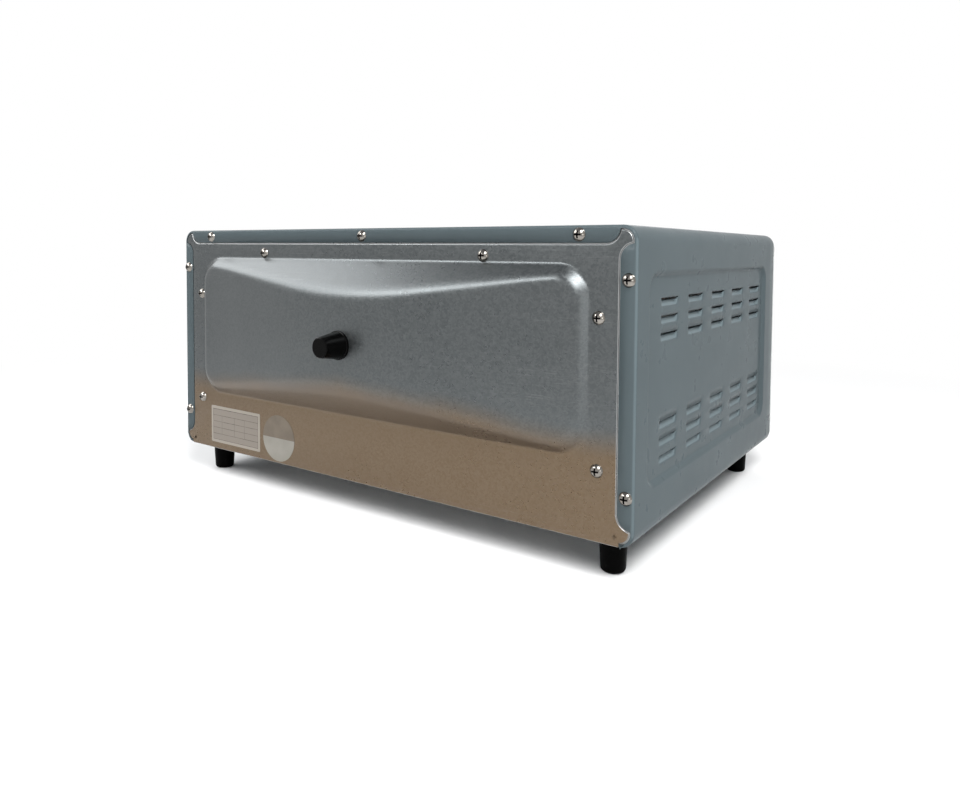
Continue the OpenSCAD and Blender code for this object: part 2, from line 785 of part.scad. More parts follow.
module foot_screws() color("silver") for (sx = [-1, 1], y = foot_y)
    translate([sx * foot_x, y, foot_well]) rotate([180, 0, 0])
        pan_screw(foot_head_d, foot_head_h, foot_screw_d, foot_h - foot_well + shank_l / 2 + 2 * sheet_t);

module base_screws() color("silver") for (sx = [-1, 1], y = base_screw_y)
    translate([sx * base_screw_x, y, low_z]) rotate([180, 0, 0])
        pan_screw(hh = base_head_h, sl = base_screw_l);

// --- Cavity sheets
module heater_holes() {
    for (y = [tube_front_y, tube_rear_y], z = [low_tube_z, high_tube_z])
        translate([y, z]) circle(cap_d / 2 + hole_clear);
}

// Side sheet from the base up to the roof, with lips for the frame and the rear panel
module cavity_side() {
    y0 = cav_front;
    y1 = cav_back;
    top = cav_top + liner_t + lip_w - 2;
    difference() {
        union() {
            plate_x(-cav_x - liner_t, liner_t) {
                rect([y0, lip_low], [y1, top]);
                rect([y0 + lip_relief, side_sheet_low], [y1 - lip_relief, lip_low]);
            }
            for (y = [y0, y1 - liner_t])
                plate_y(y, liner_t) rect([-cav_x - lip_w, lip_low], [-cav_x, top]);
            // rack rail
            plate_y(y0 + rail_lip, y1 - y0 - 2 * rail_lip) polygon([
                [-cav_x - eps, rail_top - rail_w - rail_lip], [-cav_x + rail_w, rail_top - rail_lip],
                [-cav_x + rail_w, rail_top], [-cav_x - eps, rail_top]
            ]);
        }
        plate_x(-cav_x - liner_t - cut, liner_t + 2 * cut) {
            heater_holes();
            for (i = [-1.5:1.5]) translate([cav_mid_y + i * cooling_slot_pitch, cav_low - cooling_slot_drop])
                round_rect(-cooling_slot / 2, cooling_slot / 2, cooling_slot[1] / 2 - bore_clear);
        }
        inner_ring_holes(sheet_hole_r, 2 * sheet_t + liner_t + cut);
    }
}

module cavity_left() color("lightgray") cavity_side();
module cavity_right() color("lightgray") mirror([1, 0, 0]) cavity_side();

// Roof and floor run between the side sheets and are turned at their edges
module cavity_roof() color("lightgray") difference() {
    x = cav_x - tube_clear;
    union() {
        plate_z(cav_top, liner_t) rect([-x, cav_front], [x, cav_back]);
        plate_y(cav_back - liner_t, liner_t) rect([-x, cav_top], [x, cav_top + lip_w]);
        plate_y(cav_front, liner_t) rect([-x, cav_top], [x, cav_top + lip_w]);
        both_sides() plate_x(-x, liner_t) rect([cav_front, cav_top], [cav_back, cav_top + side_lip]);
    }
    inner_ring_holes(sheet_hole_r, 2 * sheet_t + liner_t + cut);
}

module cavity_floor() color("lightgray") {
    x = cav_x - tube_clear;
    plate_z(cav_low - liner_t, liner_t) rect([-x, cav_front], [x, cav_back]);
    plate_y(cav_back - liner_t, liner_t) rect([-x, cav_low - lip_w], [x, cav_low]);
    plate_y(cav_front, liner_t) rect([-x, cav_low - lip_w / 2], [x, cav_low]);
    both_sides() plate_x(-x, liner_t) rect([cav_front, cav_low - side_lip], [cav_back, cav_low]);
}

// Loose tray on the cavity floor, with a turned front edge to lift it by
module crumb_tray() color("silver") {
    rim_z = cav_low + crumb_h;
    difference() {
        block([-crumb_x, crumb_front, cav_low], [crumb_x, crumb_rear, rim_z]);
        block([crumb_t - crumb_x, crumb_front + crumb_t, cav_low + crumb_t],
              [crumb_x - crumb_t, crumb_rear - crumb_t, rim_z + cut]);
    }
    block([-crumb_grip / 2, crumb_front - crumb_h / 2, rim_z - crumb_t],
          [crumb_grip / 2, crumb_front + eps, rim_z]);
}

// --- Heaters: open quartz tubes seated in ceramic caps that pass through the side sheets
module heater(y, z) color("mistyrose") difference() {
    l = 2 * (cav_x - cap_in + tube_seat);
    translate([-l / 2, y, z]) rotate([0, 90, 0]) cylinder(h = l, d = tube_d);
    translate([-l / 2 - cut, y, z]) rotate([0, 90, 0]) cylinder(h = l + 2 * cut, d = tube_d - 2 * tube_wall);
}

module heater_upper_front() heater(tube_front_y, high_tube_z);
module heater_upper_rear() heater(tube_rear_y, high_tube_z);
module heater_lower_front() heater(tube_front_y, low_tube_z);
module heater_lower_rear() heater(tube_rear_y, low_tube_z);

module at_heater_ends() both_sides() for (y = [tube_front_y, tube_rear_y], z = [low_tube_z, high_tube_z])
    translate([-cav_x, y, z]) rotate([0, 90, 0]) children();

module heater_caps() color("ivory") at_heater_ends() difference() {
    union() {
        translate([0, 0, -cap_out - liner_t]) cylinder(h = cap_out + cap_in + liner_t, d = cap_d);
        translate([0, 0, -collar_t - liner_t]) cylinder(h = collar_t, d = collar_d);
    }
    translate([0, 0, cap_in - tube_seat - tube_clear])
        cylinder(h = tube_seat + cut, r = tube_d / 2 + tube_clear);
    translate([0, 0, -cap_out - liner_t - cut])
        cylinder(h = cap_out + cap_in + 2 * cut, r = terminal_d / 2 + tube_clear);
}

// Threaded terminal with its washer and push-on tab
module heater_terminals() color("goldenrod") at_heater_ends() {
    face = -cap_out - liner_t;
    translate([0, 0, face - terminal_l]) cylinder(h = terminal_l + cap_out, d = terminal_d);
    translate([0, 0, face - 2 * liner_t]) cylinder(h = 2 * liner_t - tube_clear, d = terminal_washer_d);
    translate([-tab_t / 2, -tab_w / 2, face - terminal_l]) cube([tab_t, tab_w, terminal_l - 2]);
}

// --- Rack: a border wire with round corners carries the cross wires
module wire_rack() color("silver") {
    r = border_d / 2;
    bend = rack_bend;
    x = rack_x - r;
    y0 = rack_front + r;
    y1 = rack_rear - r;
    for (y = [y0, y1]) translate([-x + bend, y, rack_z]) rotate([0, 90, 0])
        cylinder(h = 2 * (x - bend), r = r);
    for (sx = [-1, 1]) {
        translate([sx * x, y0 + bend, rack_z]) rotate([-90, 0, 0]) cylinder(h = y1 - y0 - 2 * bend, r = r);
        for (sy = [-1, 1])
            translate([sx * (x - bend), sy < 0 ? y0 + bend : y1 - bend, rack_z])
                rotate([0, 0, sx < 0 ? (sy < 0 ? 180 : 90) : (sy < 0 ? 270 : 0)])
                    rotate_extrude(angle = 90) translate([bend, 0]) circle(r);
    }
    pitch = 2 * (x - bend) / (wire_count + 1);
    for (i = [1:wire_count]) translate([-x + bend + i * pitch, y0, rack_z]) rotate([-90, 0, 0])
        cylinder(h = y1 - y0, d = wire_d);
    translate([-x, (y0 + y1) / 2, rack_z]) rotate([0, 90, 0]) cylinder(h = 2 * x, d = wire_d);
}

// --- Baking tray: sloped walls, flat rim
module baking_tray() color("dimgray") {
    w = tray_w - 2 * tray_rim;
    d = tray_d - 2 * tray_rim;
    wall = tray_t * sqrt(2);
    rim = [tray_w / 2, tray_d / 2];
    translate([0, tray_mid_y, tray_z + tray_h]) mirror([0, 0, 1]) difference() {
        union() {
            pressing(w, d, tray_r, tray_h);
            linear_extrude(tray_t) round_rect(-rim, rim, tray_r + tray_rim);
        }
        translate([0, 0, -eps]) pressing(w - 2 * wall, d - 2 * wall, tray_r - tray_t, tray_h - tray_t);
    }
}

// --- Front frame: one plate over the whole front, open at the cavity, with a rolled outer edge
module front_frame() color("silver") difference() {
    plate_y(front_y - frame_t, frame_t)
        round_rect([-side_x, low_z], [side_x, top_z], frame_r);
    plate_y(front_y - frame_t - cut, frame_t + 2 * cut)
        rect([-cav_x, cav_low], [cav_x, cav_top]);
    control_holes();
}

module control_holes() {
    depth = 2 * (frame_t + strip_t + cut);
    at_controls() cylinder(h = depth, r = shaft_hole_r, center = true);
    at_lamp() cylinder(h = depth, r = lamp_d / 2 - lamp_rim / 2 + hole_clear, center = true);
}

module at_control(i) translate([i * knob_pitch, 0, knob_z]) children();
module at_controls() for (i = [-1:1]) at_control(i) translate([0, front_y, 0]) rotate([90, 0, 0]) children();
module at_lamp() translate([lamp_x, front_y, knob_z]) rotate([90, 0, 0]) children();

module control_strip() color("gainsboro") difference() {
    plate_y(strip_y, strip_t)
        round_rect([-strip_x, strip_low], [strip_x, strip_low + strip_h], frame_r - strip_margin);
    control_holes();
}

// Neon lamp: a rim on the strip, a long body behind it, a domed lens
module indicator_lamp() color("tomato") at_lamp() {
    face = frame_t + strip_t;
    lens_r = lamp_d / 2 + 0.5;
    translate([0, 0, face]) cylinder(h = lamp_rim, d = lamp_d);
    translate([0, 0, -lamp_l]) cylinder(h = lamp_l + face + eps, r = lamp_d / 2 - lamp_rim / 2);
    translate([0, 0, face + lamp_rim - eps]) intersection() {
        translate([0, 0, -3]) sphere(lens_r);
        cylinder(h = lens_r, d = lamp_d - 2);
    }
}

// --- Knob: skirt, tapered grip with finger flutes and a raised pointer
module knob(i) color("dimgray") at_control(i) translate([0, knob_back, 0]) rotate([90, 0, 0]) difference() {
    tip_d = knob_d - knob_taper;
    union() {
        cylinder(h = skirt_h, d = skirt_d);
        translate([0, 0, skirt_h - eps])
            cylinder(h = knob_h - skirt_h - knob_crown_h + 2 * eps, d1 = knob_d, d2 = tip_d);
        translate([0, 0, knob_h - knob_crown_h])
            cylinder(h = knob_crown_h, d1 = tip_d, d2 = tip_d - knob_taper);
        translate([-pointer_w / 2, 0, cut]) cube([pointer_w, knob_d / 2 - flute_d / 2, knob_h - skirt_h / 4]);
    }
    for (a = [30:30:330]) rotate(a)
        translate([0, (knob_d + knob_taper) / 2, 1.5 * skirt_h]) cylinder(h = knob_h, d = flute_d);
    translate([0, 0, -cut]) shaft_form(shaft_in_knob + cut, hole_clear / 2);
}

// D shaft, flat towards -X
module shaft_form(l, clear) intersection() {
    cylinder(h = l, d = shaft_d + 2 * clear);
    translate([-shaft_d / 2 + shaft_flat - clear, -shaft_d, 0]) cube([shaft_d * 2, shaft_d * 2, l]);
}

// Shaft from the control's housing into its knob
module shaft(i) color("lightsteelblue") at_control(i) {
    l_out = control_back - knob_back + shaft_in_knob - fit;
    translate([0, control_back, 0]) rotate([90, 0, 0]) shaft_form(l_out, 0);
    translate([0, control_back + shaft_in_body, 0]) rotate([90, 0, 0])
        cylinder(h = shaft_in_body + 0.5, d = shaft_d);
}

module temperature_knob() knob(-1);
module function_knob() knob(0);
module timer_knob() knob(1);
module temperature_shaft() shaft(-1);
module function_shaft() shaft(0);
module timer_shaft() shaft(1);

// Threaded bushing on a control housing, bored for its shaft and blind behind it
module bushing_and_bore(i) at_control(i) translate([0, control_back, 0]) rotate([90, 0, 0]) difference() {
    reach = control_back - front_y + frame_t + strip_t - 0.5;
    union() {
        children();
        translate([0, 0, -eps]) cylinder(h = reach, r = thread_r);
    }
    translate([0, 0, -shaft_in_body - 0.5])
        cylinder(h = reach + shaft_in_body + cut, d = shaft_d + 2 * shaft_clear);
}

// Thin nuts that hold the controls from behind the front
module shaft_nuts() color("silver") for (i = [-1:1])
    at_control(i) translate([0, front_y + sheet_t + nut_h + tube_clear, 0]) rotate([90, 0, 0]) difference() {
        cylinder(h = nut_h, d = nut_af / cos(30), $fn = 6);
        translate([0, 0, -cut]) cylinder(h = nut_h + 2 * cut, r = thread_r + bore_clear);
    }

// Upright push-on tab, z0 to z0 + h
module tab(x, y, z0, h) translate([x - tab_t / 2, y - tab_w / 2, z0]) cube([tab_t, tab_w, h]);

// Capillary thermostat: a can with its bellows behind and two tabs
module thermostat() color("tan") bushing_and_bore(-1) {
    translate([-can[0] / 2, -can[1] / 2, -can[2]]) cube(can);
    translate([0, 0, -can[2] - 4]) cylinder(h = 5, d = can[1] - 4);
    for (sx = [-1, 1]) tab(sx * can[0] / 3, 0, -can[2] - tab_w, tab_w + cut);
}

// Bulb of the thermostat, held on the cavity's left sheet by two clips
module thermostat_bulb() color("peru") {
    translate([-bulb_x, cav_mid_y - bulb_l / 2, bulb_z]) rotate([-90, 0, 0]) cylinder(h = bulb_l, d = bulb_d);
    for (e = [-1, 1]) translate([0, cav_mid_y + e * bulb_l / 3, bulb_z]) difference() {
        block([-bulb_x - bulb_d / 2 - 1, -bulb_clip[0] / 2, -bulb_clip[1] / 2],
              [-cav_x - liner_t, bulb_clip[0] / 2, bulb_clip[1] / 2]);
        translate([-bulb_x, -bulb_clip[0], 0]) rotate([-90, 0, 0])
            cylinder(h = 2 * bulb_clip[0], d = bulb_d - 2 * tube_clear);
    }
}

// Rotary switch that selects upper, lower or both heaters
module function_switch() color("saddlebrown") bushing_and_bore(0) {
    translate([0, 0, -switch_h]) cylinder(h = switch_h, d = switch_d);
    translate([-switch_d / 2 - 2, -2, -switch_h / 3]) cube([switch_d + 4, 4, switch_h / 3]);
    for (a = [45:90:315]) rotate(a) tab(switch_d * 0.38, 0, -switch_h - tab_w, tab_w + cut);
}

// Clockwork timer with its bell
module timer_housing() color("darkkhaki") bushing_and_bore(1) {
    translate([-timer[0] / 2, -timer[1] / 2, -timer[2]]) cube(timer);
    translate([0, 0, -timer[2] - 8]) cylinder(h = 8 + eps, d = 5);
    translate([0, 0, -timer[2] - 12]) cylinder(h = 5, d1 = bell_d - 8, d2 = bell_d);
}

// Mains terminals on the base, near the bushing: a bar with three screw ways
module terminal_block() color("ivory") translate([bushing_x - 56, bushing_y - 8, low_z + 2 * sheet_t]) {
    pitch = 12;
    bar = [3 * pitch, 18, 5];
    way = [9, 14, 13];
    difference() {
        union() {
            cube(bar);
            for (i = [0:2]) translate([i * pitch + (pitch - way[0]) / 2, (bar[1] - way[1]) / 2, 0]) cube(way);
        }
        for (i = [0:2]) translate([(i + 0.5) * pitch, bar[1] / 2, way[2] / 2]) {
            cylinder(h = way[2], d = way[0] / 2);
            rotate([90, 0, 0]) cylinder(h = bar[1] + 2 * cut, d = 3.4, center = true);
        }
    }
}

// Bimetal cut-out on the cavity roof
module thermal_cutout() color("gray") translate([cutout_x, cav_mid_y, cav_top + liner_t]) {
    strap = [28, 10, 0.8];
    body_r = 8;
    cap_h = 9;
    translate([-strap[0] / 2, -strap[1] / 2, 0]) cube(strap);
    cylinder(h = 5, r = body_r);
    cylinder(h = cap_h, r = strap[1] / 2);
    for (sx = [-1, 1]) tab(sx * (body_r - 2.5), 0, 4, cap_h - cut);
}

// --- Door: pressed surround, round along its lower edge
module door_outline_yz() {
    translate([hinge_y, hinge_z]) circle(door_t / 2);
    rect([door_front, hinge_z], [door_back, door_top]);
}

module door_frame() color("darkslategray") difference() {
    intersection() {
        plate_x(-door_x, 2 * door_x) door_outline_yz();
        plate_y(door_front - cut, door_t + 2 * cut) door_face();
    }
    // window through the skin, and the pan behind it that takes glass and retainer
    plate_y(door_front - cut, door_t + 2 * cut) window_shape(0);
    plate_y(glass_y, door_t) window_shape(glass_lap);
    for (sx = [-1, 1]) {
        translate([sx * (door_x - pin_in - cut), hinge_y, hinge_z]) rotate([0, sx * 90, 0])
            cylinder(h = pin_in + 2 * cut, r = pin_r + pin_clear);
        translate([sx * post_x, door_front - cut, handle_z]) rotate([-90, 0, 0])
            cylinder(h = door_t + 2 * cut, r = handle_screw_r + hole_clear);
        translate([sx * post_x, door_front + post_foot_h, handle_z]) rotate([-90, 0, 0])
            cylinder(h = door_t, r = head_d / 2 + 0.5);
    }
}

// Front view of the door: round upper corners, square lower ones
module door_face() {
    rect([-door_x, hinge_z - door_t], [door_x, door_top - door_r]);
    rect([-door_x + door_r, hinge_z - door_t], [door_x - door_r, door_top]);
    for (sx = [-1, 1]) translate([sx * (door_x - door_r), door_top - door_r]) circle(door_r);
}

// Outline of the window, grown by g
module window_shape(g)
    round_rect([-window_x - g, window_low - g], [window_x + g, window_top + g], window_r + g);

module door_glass() color([0.15, 0.17, 0.18, 0.6]) plate_y(glass_y, glass_t) window_shape(glass_lap - fit);

// Sheet surround that holds the glass from inside
module glass_retainer() color("lightgray") plate_y(glass_y + glass_t, retainer_t) difference() {
    window_shape(glass_lap - fit);
    round_rect([retainer_frame - window_x, window_low + retainer_frame],
               [window_x - retainer_frame, window_top - retainer_frame], window_r);
}

// Bar on two posts; the bar's ends are domed
module door_handle() color("black") difference() {
    union() {
        translate([-bar_l / 2 + bar_d / 2, handle_y, handle_z]) rotate([0, 90, 0])
            cylinder(h = bar_l - bar_d, d = bar_d);
        for (sx = [-1, 1]) {
            translate([sx * (bar_l - bar_d) / 2, handle_y, handle_z]) sphere(d = bar_d);
            translate([sx * post_x, door_front, handle_z]) rotate([90, 0, 0]) {
                cylinder(h = post_foot_h, d = post_foot_d);
                cylinder(h = door_front - handle_y, d = post_d);
            }
        }
    }
    for (sx = [-1, 1]) translate([sx * post_x, door_front + cut, handle_z]) rotate([90, 0, 0])
        cylinder(h = handle_screw_l + cut, r = handle_screw_r + bore_clear);
}

module handle_screws() color("silver") for (sx = [-1, 1])
    translate([sx * post_x, door_front + post_foot_h, handle_z]) rotate([-90, 0, 0])
        pan_screw(sd = 2 * handle_screw_r, sl = handle_screw_l);

// --- Hinge: pins stand in brackets on the front frame and run in the door's lower corners
module hinge_pins() color("silver") both_sides()
    translate([-bracket_x, hinge_y, hinge_z]) rotate([0, 90, 0])
        cylinder(h = pin_in + bracket_gap + bracket_t - fit, r = pin_r);

module hinge_brackets() color("gray") both_sides() difference() {
    eye_r = door_t / 2 - bracket_gap;
    plate_x(-bracket_x, bracket_t) {
        rect([hinge_y, hinge_z - eye_r], [front_y - frame_t, hinge_z + eye_r]);
        translate([hinge_y, hinge_z]) circle(eye_r);
    }
    translate([-bracket_x - cut, hinge_y, hinge_z]) rotate([0, 90, 0])
        cylinder(h = bracket_t + 2 * cut, r = pin_r);
}

// Closing springs in the gap below the cavity's side, each on a stud of the side sheet
module door_springs() color("silver") both_sides() {
    coil_l = spring_turns * spring_wire_r * 2;
    stud_r = spring_coil_r - spring_wire_r - fit;
    translate([-cav_x - liner_t, spring_y, spring_z]) rotate([0, -90, 0]) {
        cylinder(h = coil_l + 3, r = stud_r);
        translate([0, 0, coil_l + 2.4]) cylinder(h = 0.8, r = spring_coil_r + 1);
        for (k = [0:spring_turns - 1]) translate([0, 0, 2 * spring_wire_r + 0.8 + k * spring_wire_r * 1.9])
            rotate_extrude() translate([stud_r + spring_wire_r / 2, 0]) circle(spring_wire_r, $fn = 16);
    }
}

outer_casing();
rear_panel();
base_plate();
front_frame();
control_strip();
cavity_roof();
cavity_floor();
cavity_left();
cavity_right();
crumb_tray();
heater_upper_front();
heater_upper_rear();
heater_lower_front();
heater_lower_rear();
heater_caps();
heater_terminals();
wire_rack();
baking_tray();
door_frame();
door_glass();
glass_retainer();
door_handle();
handle_screws();
hinge_pins();
hinge_brackets();
door_springs();
temperature_knob();
temperature_shaft();
thermostat();
thermostat_bulb();
function_knob();
function_shaft();
function_switch();
timer_knob();
timer_shaft();
timer_housing();
shaft_nuts();
indicator_lamp();
terminal_block();
thermal_cutout();
cord_bushing();
foot_front_left();
foot_front_right();
foot_rear_left();
foot_rear_right();
foot_screws();
casing_screws();
rear_panel_screws();
base_screws();
rear_spacer();
spacer_screw();
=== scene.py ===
"""Bench-top reflow oven: finishes, pressed sheet metal, labels, heater coils, light and camera."""
import json
import math

import bmesh
import bpy
from mathutils import Matrix, Vector


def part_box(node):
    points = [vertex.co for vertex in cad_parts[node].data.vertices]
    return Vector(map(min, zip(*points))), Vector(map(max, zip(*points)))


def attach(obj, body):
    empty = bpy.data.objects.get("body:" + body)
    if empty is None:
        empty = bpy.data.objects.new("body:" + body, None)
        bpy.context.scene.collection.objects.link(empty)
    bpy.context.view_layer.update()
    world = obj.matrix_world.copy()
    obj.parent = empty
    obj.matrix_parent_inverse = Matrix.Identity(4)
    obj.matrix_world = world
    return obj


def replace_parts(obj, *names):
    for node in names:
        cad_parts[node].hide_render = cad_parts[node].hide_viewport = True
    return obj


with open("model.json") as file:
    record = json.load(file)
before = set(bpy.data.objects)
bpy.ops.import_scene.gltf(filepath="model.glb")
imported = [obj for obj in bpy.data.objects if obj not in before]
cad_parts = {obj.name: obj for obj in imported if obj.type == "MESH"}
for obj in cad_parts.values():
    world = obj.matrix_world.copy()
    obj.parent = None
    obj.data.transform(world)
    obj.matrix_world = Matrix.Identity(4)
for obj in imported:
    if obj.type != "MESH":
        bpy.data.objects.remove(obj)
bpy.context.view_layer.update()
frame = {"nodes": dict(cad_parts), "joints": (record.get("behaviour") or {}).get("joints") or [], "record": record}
MM = 0.001


# ---------------------------------------------------------------- camera
CAMERA_PLACE = Vector((-0.3578, 0.5258, 0.1844))
CAMERA_YAW, CAMERA_PITCH, CAMERA_ROLL = -0.96597, -0.04318, 0.00731
CAMERA_LENS = 28.164
CAMERA_SHIFT_Y = -0.1219


def make_camera():
    """The camera looks at the rear panel and the left side wall from just above the middle."""
    level = math.cos(CAMERA_PITCH)
    forward = Vector((level * math.cos(CAMERA_YAW), level * math.sin(CAMERA_YAW),
                      math.sin(CAMERA_PITCH)))
    side = forward.cross(Vector((0, 0, 1))).normalized()
    up = side.cross(forward)
    right = math.cos(CAMERA_ROLL) * side + math.sin(CAMERA_ROLL) * up
    top = math.cos(CAMERA_ROLL) * up - math.sin(CAMERA_ROLL) * side
    camera = bpy.data.objects.new("camera", bpy.data.cameras.new("camera"))
    camera.data.lens = CAMERA_LENS
    camera.data.shift_y = CAMERA_SHIFT_Y
    camera.data.clip_start, camera.data.clip_end = 0.01, 50
    turned = Matrix((right, top, -forward)).transposed().to_4x4()
    camera.matrix_world = Matrix.Translation(CAMERA_PLACE) @ turned
    bpy.context.scene.collection.objects.link(camera)
    bpy.context.scene.camera = camera


make_camera()


# ---------------------------------------------------------------- node trees
class Wiring:
    """Adds nodes to one node tree and joins them up."""

    def __init__(self, tree):
        self.tree = tree

    def add(self, kind, inputs=None, **settings):
        node = self.tree.nodes.new(kind)
        for name, value in settings.items():
            setattr(node, name, value)
        for name, value in (inputs or {}).items():
            self.put(node.inputs[name], value)
        return node

    def put(self, socket, value):
        if isinstance(value, bpy.types.NodeSocket):
            self.tree.links.new(value, socket)
        else:
            socket.default_value = value

    def math(self, operation, a, b=0.0):
        return self.add("ShaderNodeMath", {0: a, 1: b}, operation=operation).outputs[0]

    def remap(self, value, low, high, to_low=0.0, to_high=1.0, smooth=True):
        kind = "SMOOTHSTEP" if smooth else "LINEAR"
        return self.add("ShaderNodeMapRange", {"Value": value, "From Min": low, "From Max": high,
                                               "To Min": to_low, "To Max": to_high},
                        interpolation_type=kind).outputs["Result"]

    def mix(self, factor, a, b):
        node = self.add("ShaderNodeMix", data_type="RGBA")
        self.put(node.inputs["Factor"], factor)
        self.put(node.inputs[6], a)
        self.put(node.inputs[7], b)
        return node.outputs[2]

    def noise(self, place, scale, detail, **more):
        inputs = {"Vector": place, "Scale": scale, "Detail": detail, **more}
        return self.add("ShaderNodeTexNoise", inputs).outputs["Fac"]

    def place(self):
        return self.add("ShaderNodeTexCoord").outputs["Object"]

    def axes(self):
        return self.add("ShaderNodeSeparateXYZ", {"Vector": self.place()}).outputs

    def group(self, tree, **inputs):
        node = self.tree.nodes.new("ShaderNodeGroup")
        node.node_tree = tree
        for name, value in inputs.items():
            self.put(node.inputs[name.replace("_", " ")], value)
        return node.outputs[0]


def make_group(name, inputs, output):
    """A shader node group with float inputs and one float output; returns its tree and wiring."""
    tree = bpy.data.node_groups.new(name, "ShaderNodeTree")
    for label, value in inputs.items():
        socket = tree.interface.new_socket(label, in_out="INPUT", socket_type="NodeSocketFloat")
        socket.default_value = value
    tree.interface.new_socket(output, in_out="OUTPUT", socket_type="NodeSocketFloat")
    wiring = Wiring(tree)
    given = wiring.add("NodeGroupInput").outputs
    out = wiring.add("NodeGroupOutput")
    return tree, wiring, given, out.inputs[0]


def mottle_group():
    """Soft cloudy variation between two values."""
    tree, w, given, out = make_group("mottle", {"Scale": 20.0, "Low": 0.0, "High": 1.0}, "Value")
    clouds = w.noise(w.place(), given["Scale"], 4.0, Roughness=0.55)
    w.put(out, w.remap(clouds, 0.32, 0.68, given["Low"], given["High"]))
    return tree


def grain_group():
    """Fine grain as a height, such as the skin of powder paint or moulded plastic."""
    tree, w, given, out = make_group("grain", {"Scale": 900.0, "Amount": 1.0}, "Height")
    fine = w.noise(w.place(), given["Scale"], 2.0)
    w.put(out, w.math("MULTIPLY", fine, given["Amount"]))
    return tree


HAIRLINE_TURNS = (0.12, -0.9)
HAIRLINE_STRETCH = (0.03, 0.3, 1.0)
HAIRLINE_PATCHES, PATCH_FROM, PATCH_TO = 60.0, 0.6, 0.72


def scratch_group():
    """Sparse straight hairlines in two directions, as a mask."""
    tree, w, given, out = make_group("scratches", {"Scale": 40.0, "Width": 0.02, "Amount": 1.0}, "Mask")
    lines = 0.0
    for turn in HAIRLINE_TURNS:
        turned = w.add("ShaderNodeMapping", {"Vector": w.place(), "Rotation": (0.0, turn, 0.0),
                                             "Scale": HAIRLINE_STRETCH}).outputs[0]
        off_middle = w.math("ABSOLUTE", w.math("SUBTRACT", w.noise(turned, given["Scale"], 2.0), 0.5))
        line = w.remap(off_middle, 0.0, given["Width"], 1.0, 0.0)
        patches = w.remap(w.noise(turned, HAIRLINE_PATCHES, 0.0), PATCH_FROM, PATCH_TO)
        lines = w.math("MAXIMUM", lines, w.math("MULTIPLY", line, patches))
    w.put(out, w.math("MULTIPLY", lines, given["Amount"]))
    return tree


SPANGLE_BEND_SCALE, SPANGLE_BEND = 260.0, 0.0035


def spangle_group():
    """Crystal flecks of hot-dip zinc: every cell has its own tone."""
    tree, w, given, out = make_group("spangle", {"Scale": 500.0, "Low": 0.0, "High": 1.0}, "Value")
    bends = w.add("ShaderNodeTexNoise", {"Vector": w.place(), "Scale": SPANGLE_BEND_SCALE, "Detail": 2.0})
    place = w.add("ShaderNodeMix", data_type="VECTOR")
    w.put(place.inputs["Factor"], SPANGLE_BEND)
    w.put(place.inputs[4], w.place())
    w.put(place.inputs[5], bends.outputs["Color"])
    cells = w.add("ShaderNodeTexVoronoi", {"Vector": place.outputs[1], "Scale": given["Scale"]})
    tone = w.add("ShaderNodeSeparateColor", {"Color": cells.outputs["Color"]}).outputs[0]
    w.put(out, w.remap(tone, 0.0, 1.0, given["Low"], given["High"], smooth=False))
    return tree


MOTTLE, GRAIN, SCRATCHES, SPANGLE = mottle_group(), grain_group(), scratch_group(), spangle_group()


def new_finish(name, metal=0.0, rough=0.5, **more):
    """A material with its shader, whose constant values are set on the shader itself."""
    material = bpy.data.materials.new(name + "_finish")
    material.use_nodes = True
    shader = material.node_tree.nodes["Principled BSDF"]
    shader.inputs["Metallic"].default_value = metal
    shader.inputs["Roughness"].default_value = rough
    for label, value in more.items():
        shader.inputs[label.replace("_", " ")].default_value = value
    return material, Wiring(material.node_tree), shader.inputs


def relief(w, shader, height, strength, distance):
    """Bumps the surface by a height; distance is the height of one unit, in metres."""
    bump = w.add("ShaderNodeBump", {"Height": height, "Strength": strength, "Distance": distance})
    w.put(shader["Normal"], bump.outputs[0])


def drifting(w, dark, light, scale):
    """A colour that drifts between two close tones."""
    return w.mix(w.group(MOTTLE, Scale=scale), (*dark, 1), (*light, 1))


def two_tones(w, shader, dark, light, scale):
    """Gives the surface a base colour that drifts between two close tones."""
    w.put(shader["Base Color"], drifting(w, dark, light, scale))


PAINT_COAT_ROUGH, PAINT_SPECULAR, PAINT_DRIFT = 0.04, 0.02, 0.06


def painted(name, colour, rough, coat=0.0, grain=0.25):
    """Powder coat: even colour, faint unevenness in the gloss, orange peel."""
    material, w, shader = new_finish(name, rough=rough, Coat_Weight=coat, Coat_Roughness=PAINT_COAT_ROUGH,
                                     Specular_IOR_Level=PAINT_SPECULAR)
    dark = [c * (1 - PAINT_DRIFT) for c in colour]
    light = [min(1, c * (1 + PAINT_DRIFT)) for c in colour]
    two_tones(w, shader, dark, light, 14)
    w.put(shader["Roughness"], w.group(MOTTLE, Scale=60.0, Low=rough * 0.9, High=rough * 1.12))
    relief(w, shader, w.group(GRAIN, Scale=700.0), grain, 0.00005)
    return material


# painted light on the casing's paint: lighter where the distance from the middle is under FLAP_X, on the louvre
# flaps, as if lit from above, and a painted highlight where that distance plus y is over BEND_REACH, on the rear
# bend; it fades in between the two values
PAINTED_LIGHT_TONE, FLAP_PAINTED_LIGHT, BEND_PAINTED_HIGHLIGHT = 1.9, 0.8, 0.5
FLAP_X, FLAP_REAR_Y, FLAP_MID_Z, FLAP_HALF_Z = (0.1968, 0.1972), 0.14, 0.11, 0.06
BEND_REACH = (0.3490, 0.3494)
CASING_DRIFT, CASING_ROUGH = (0.97, 1.03), (0.27, 0.33)


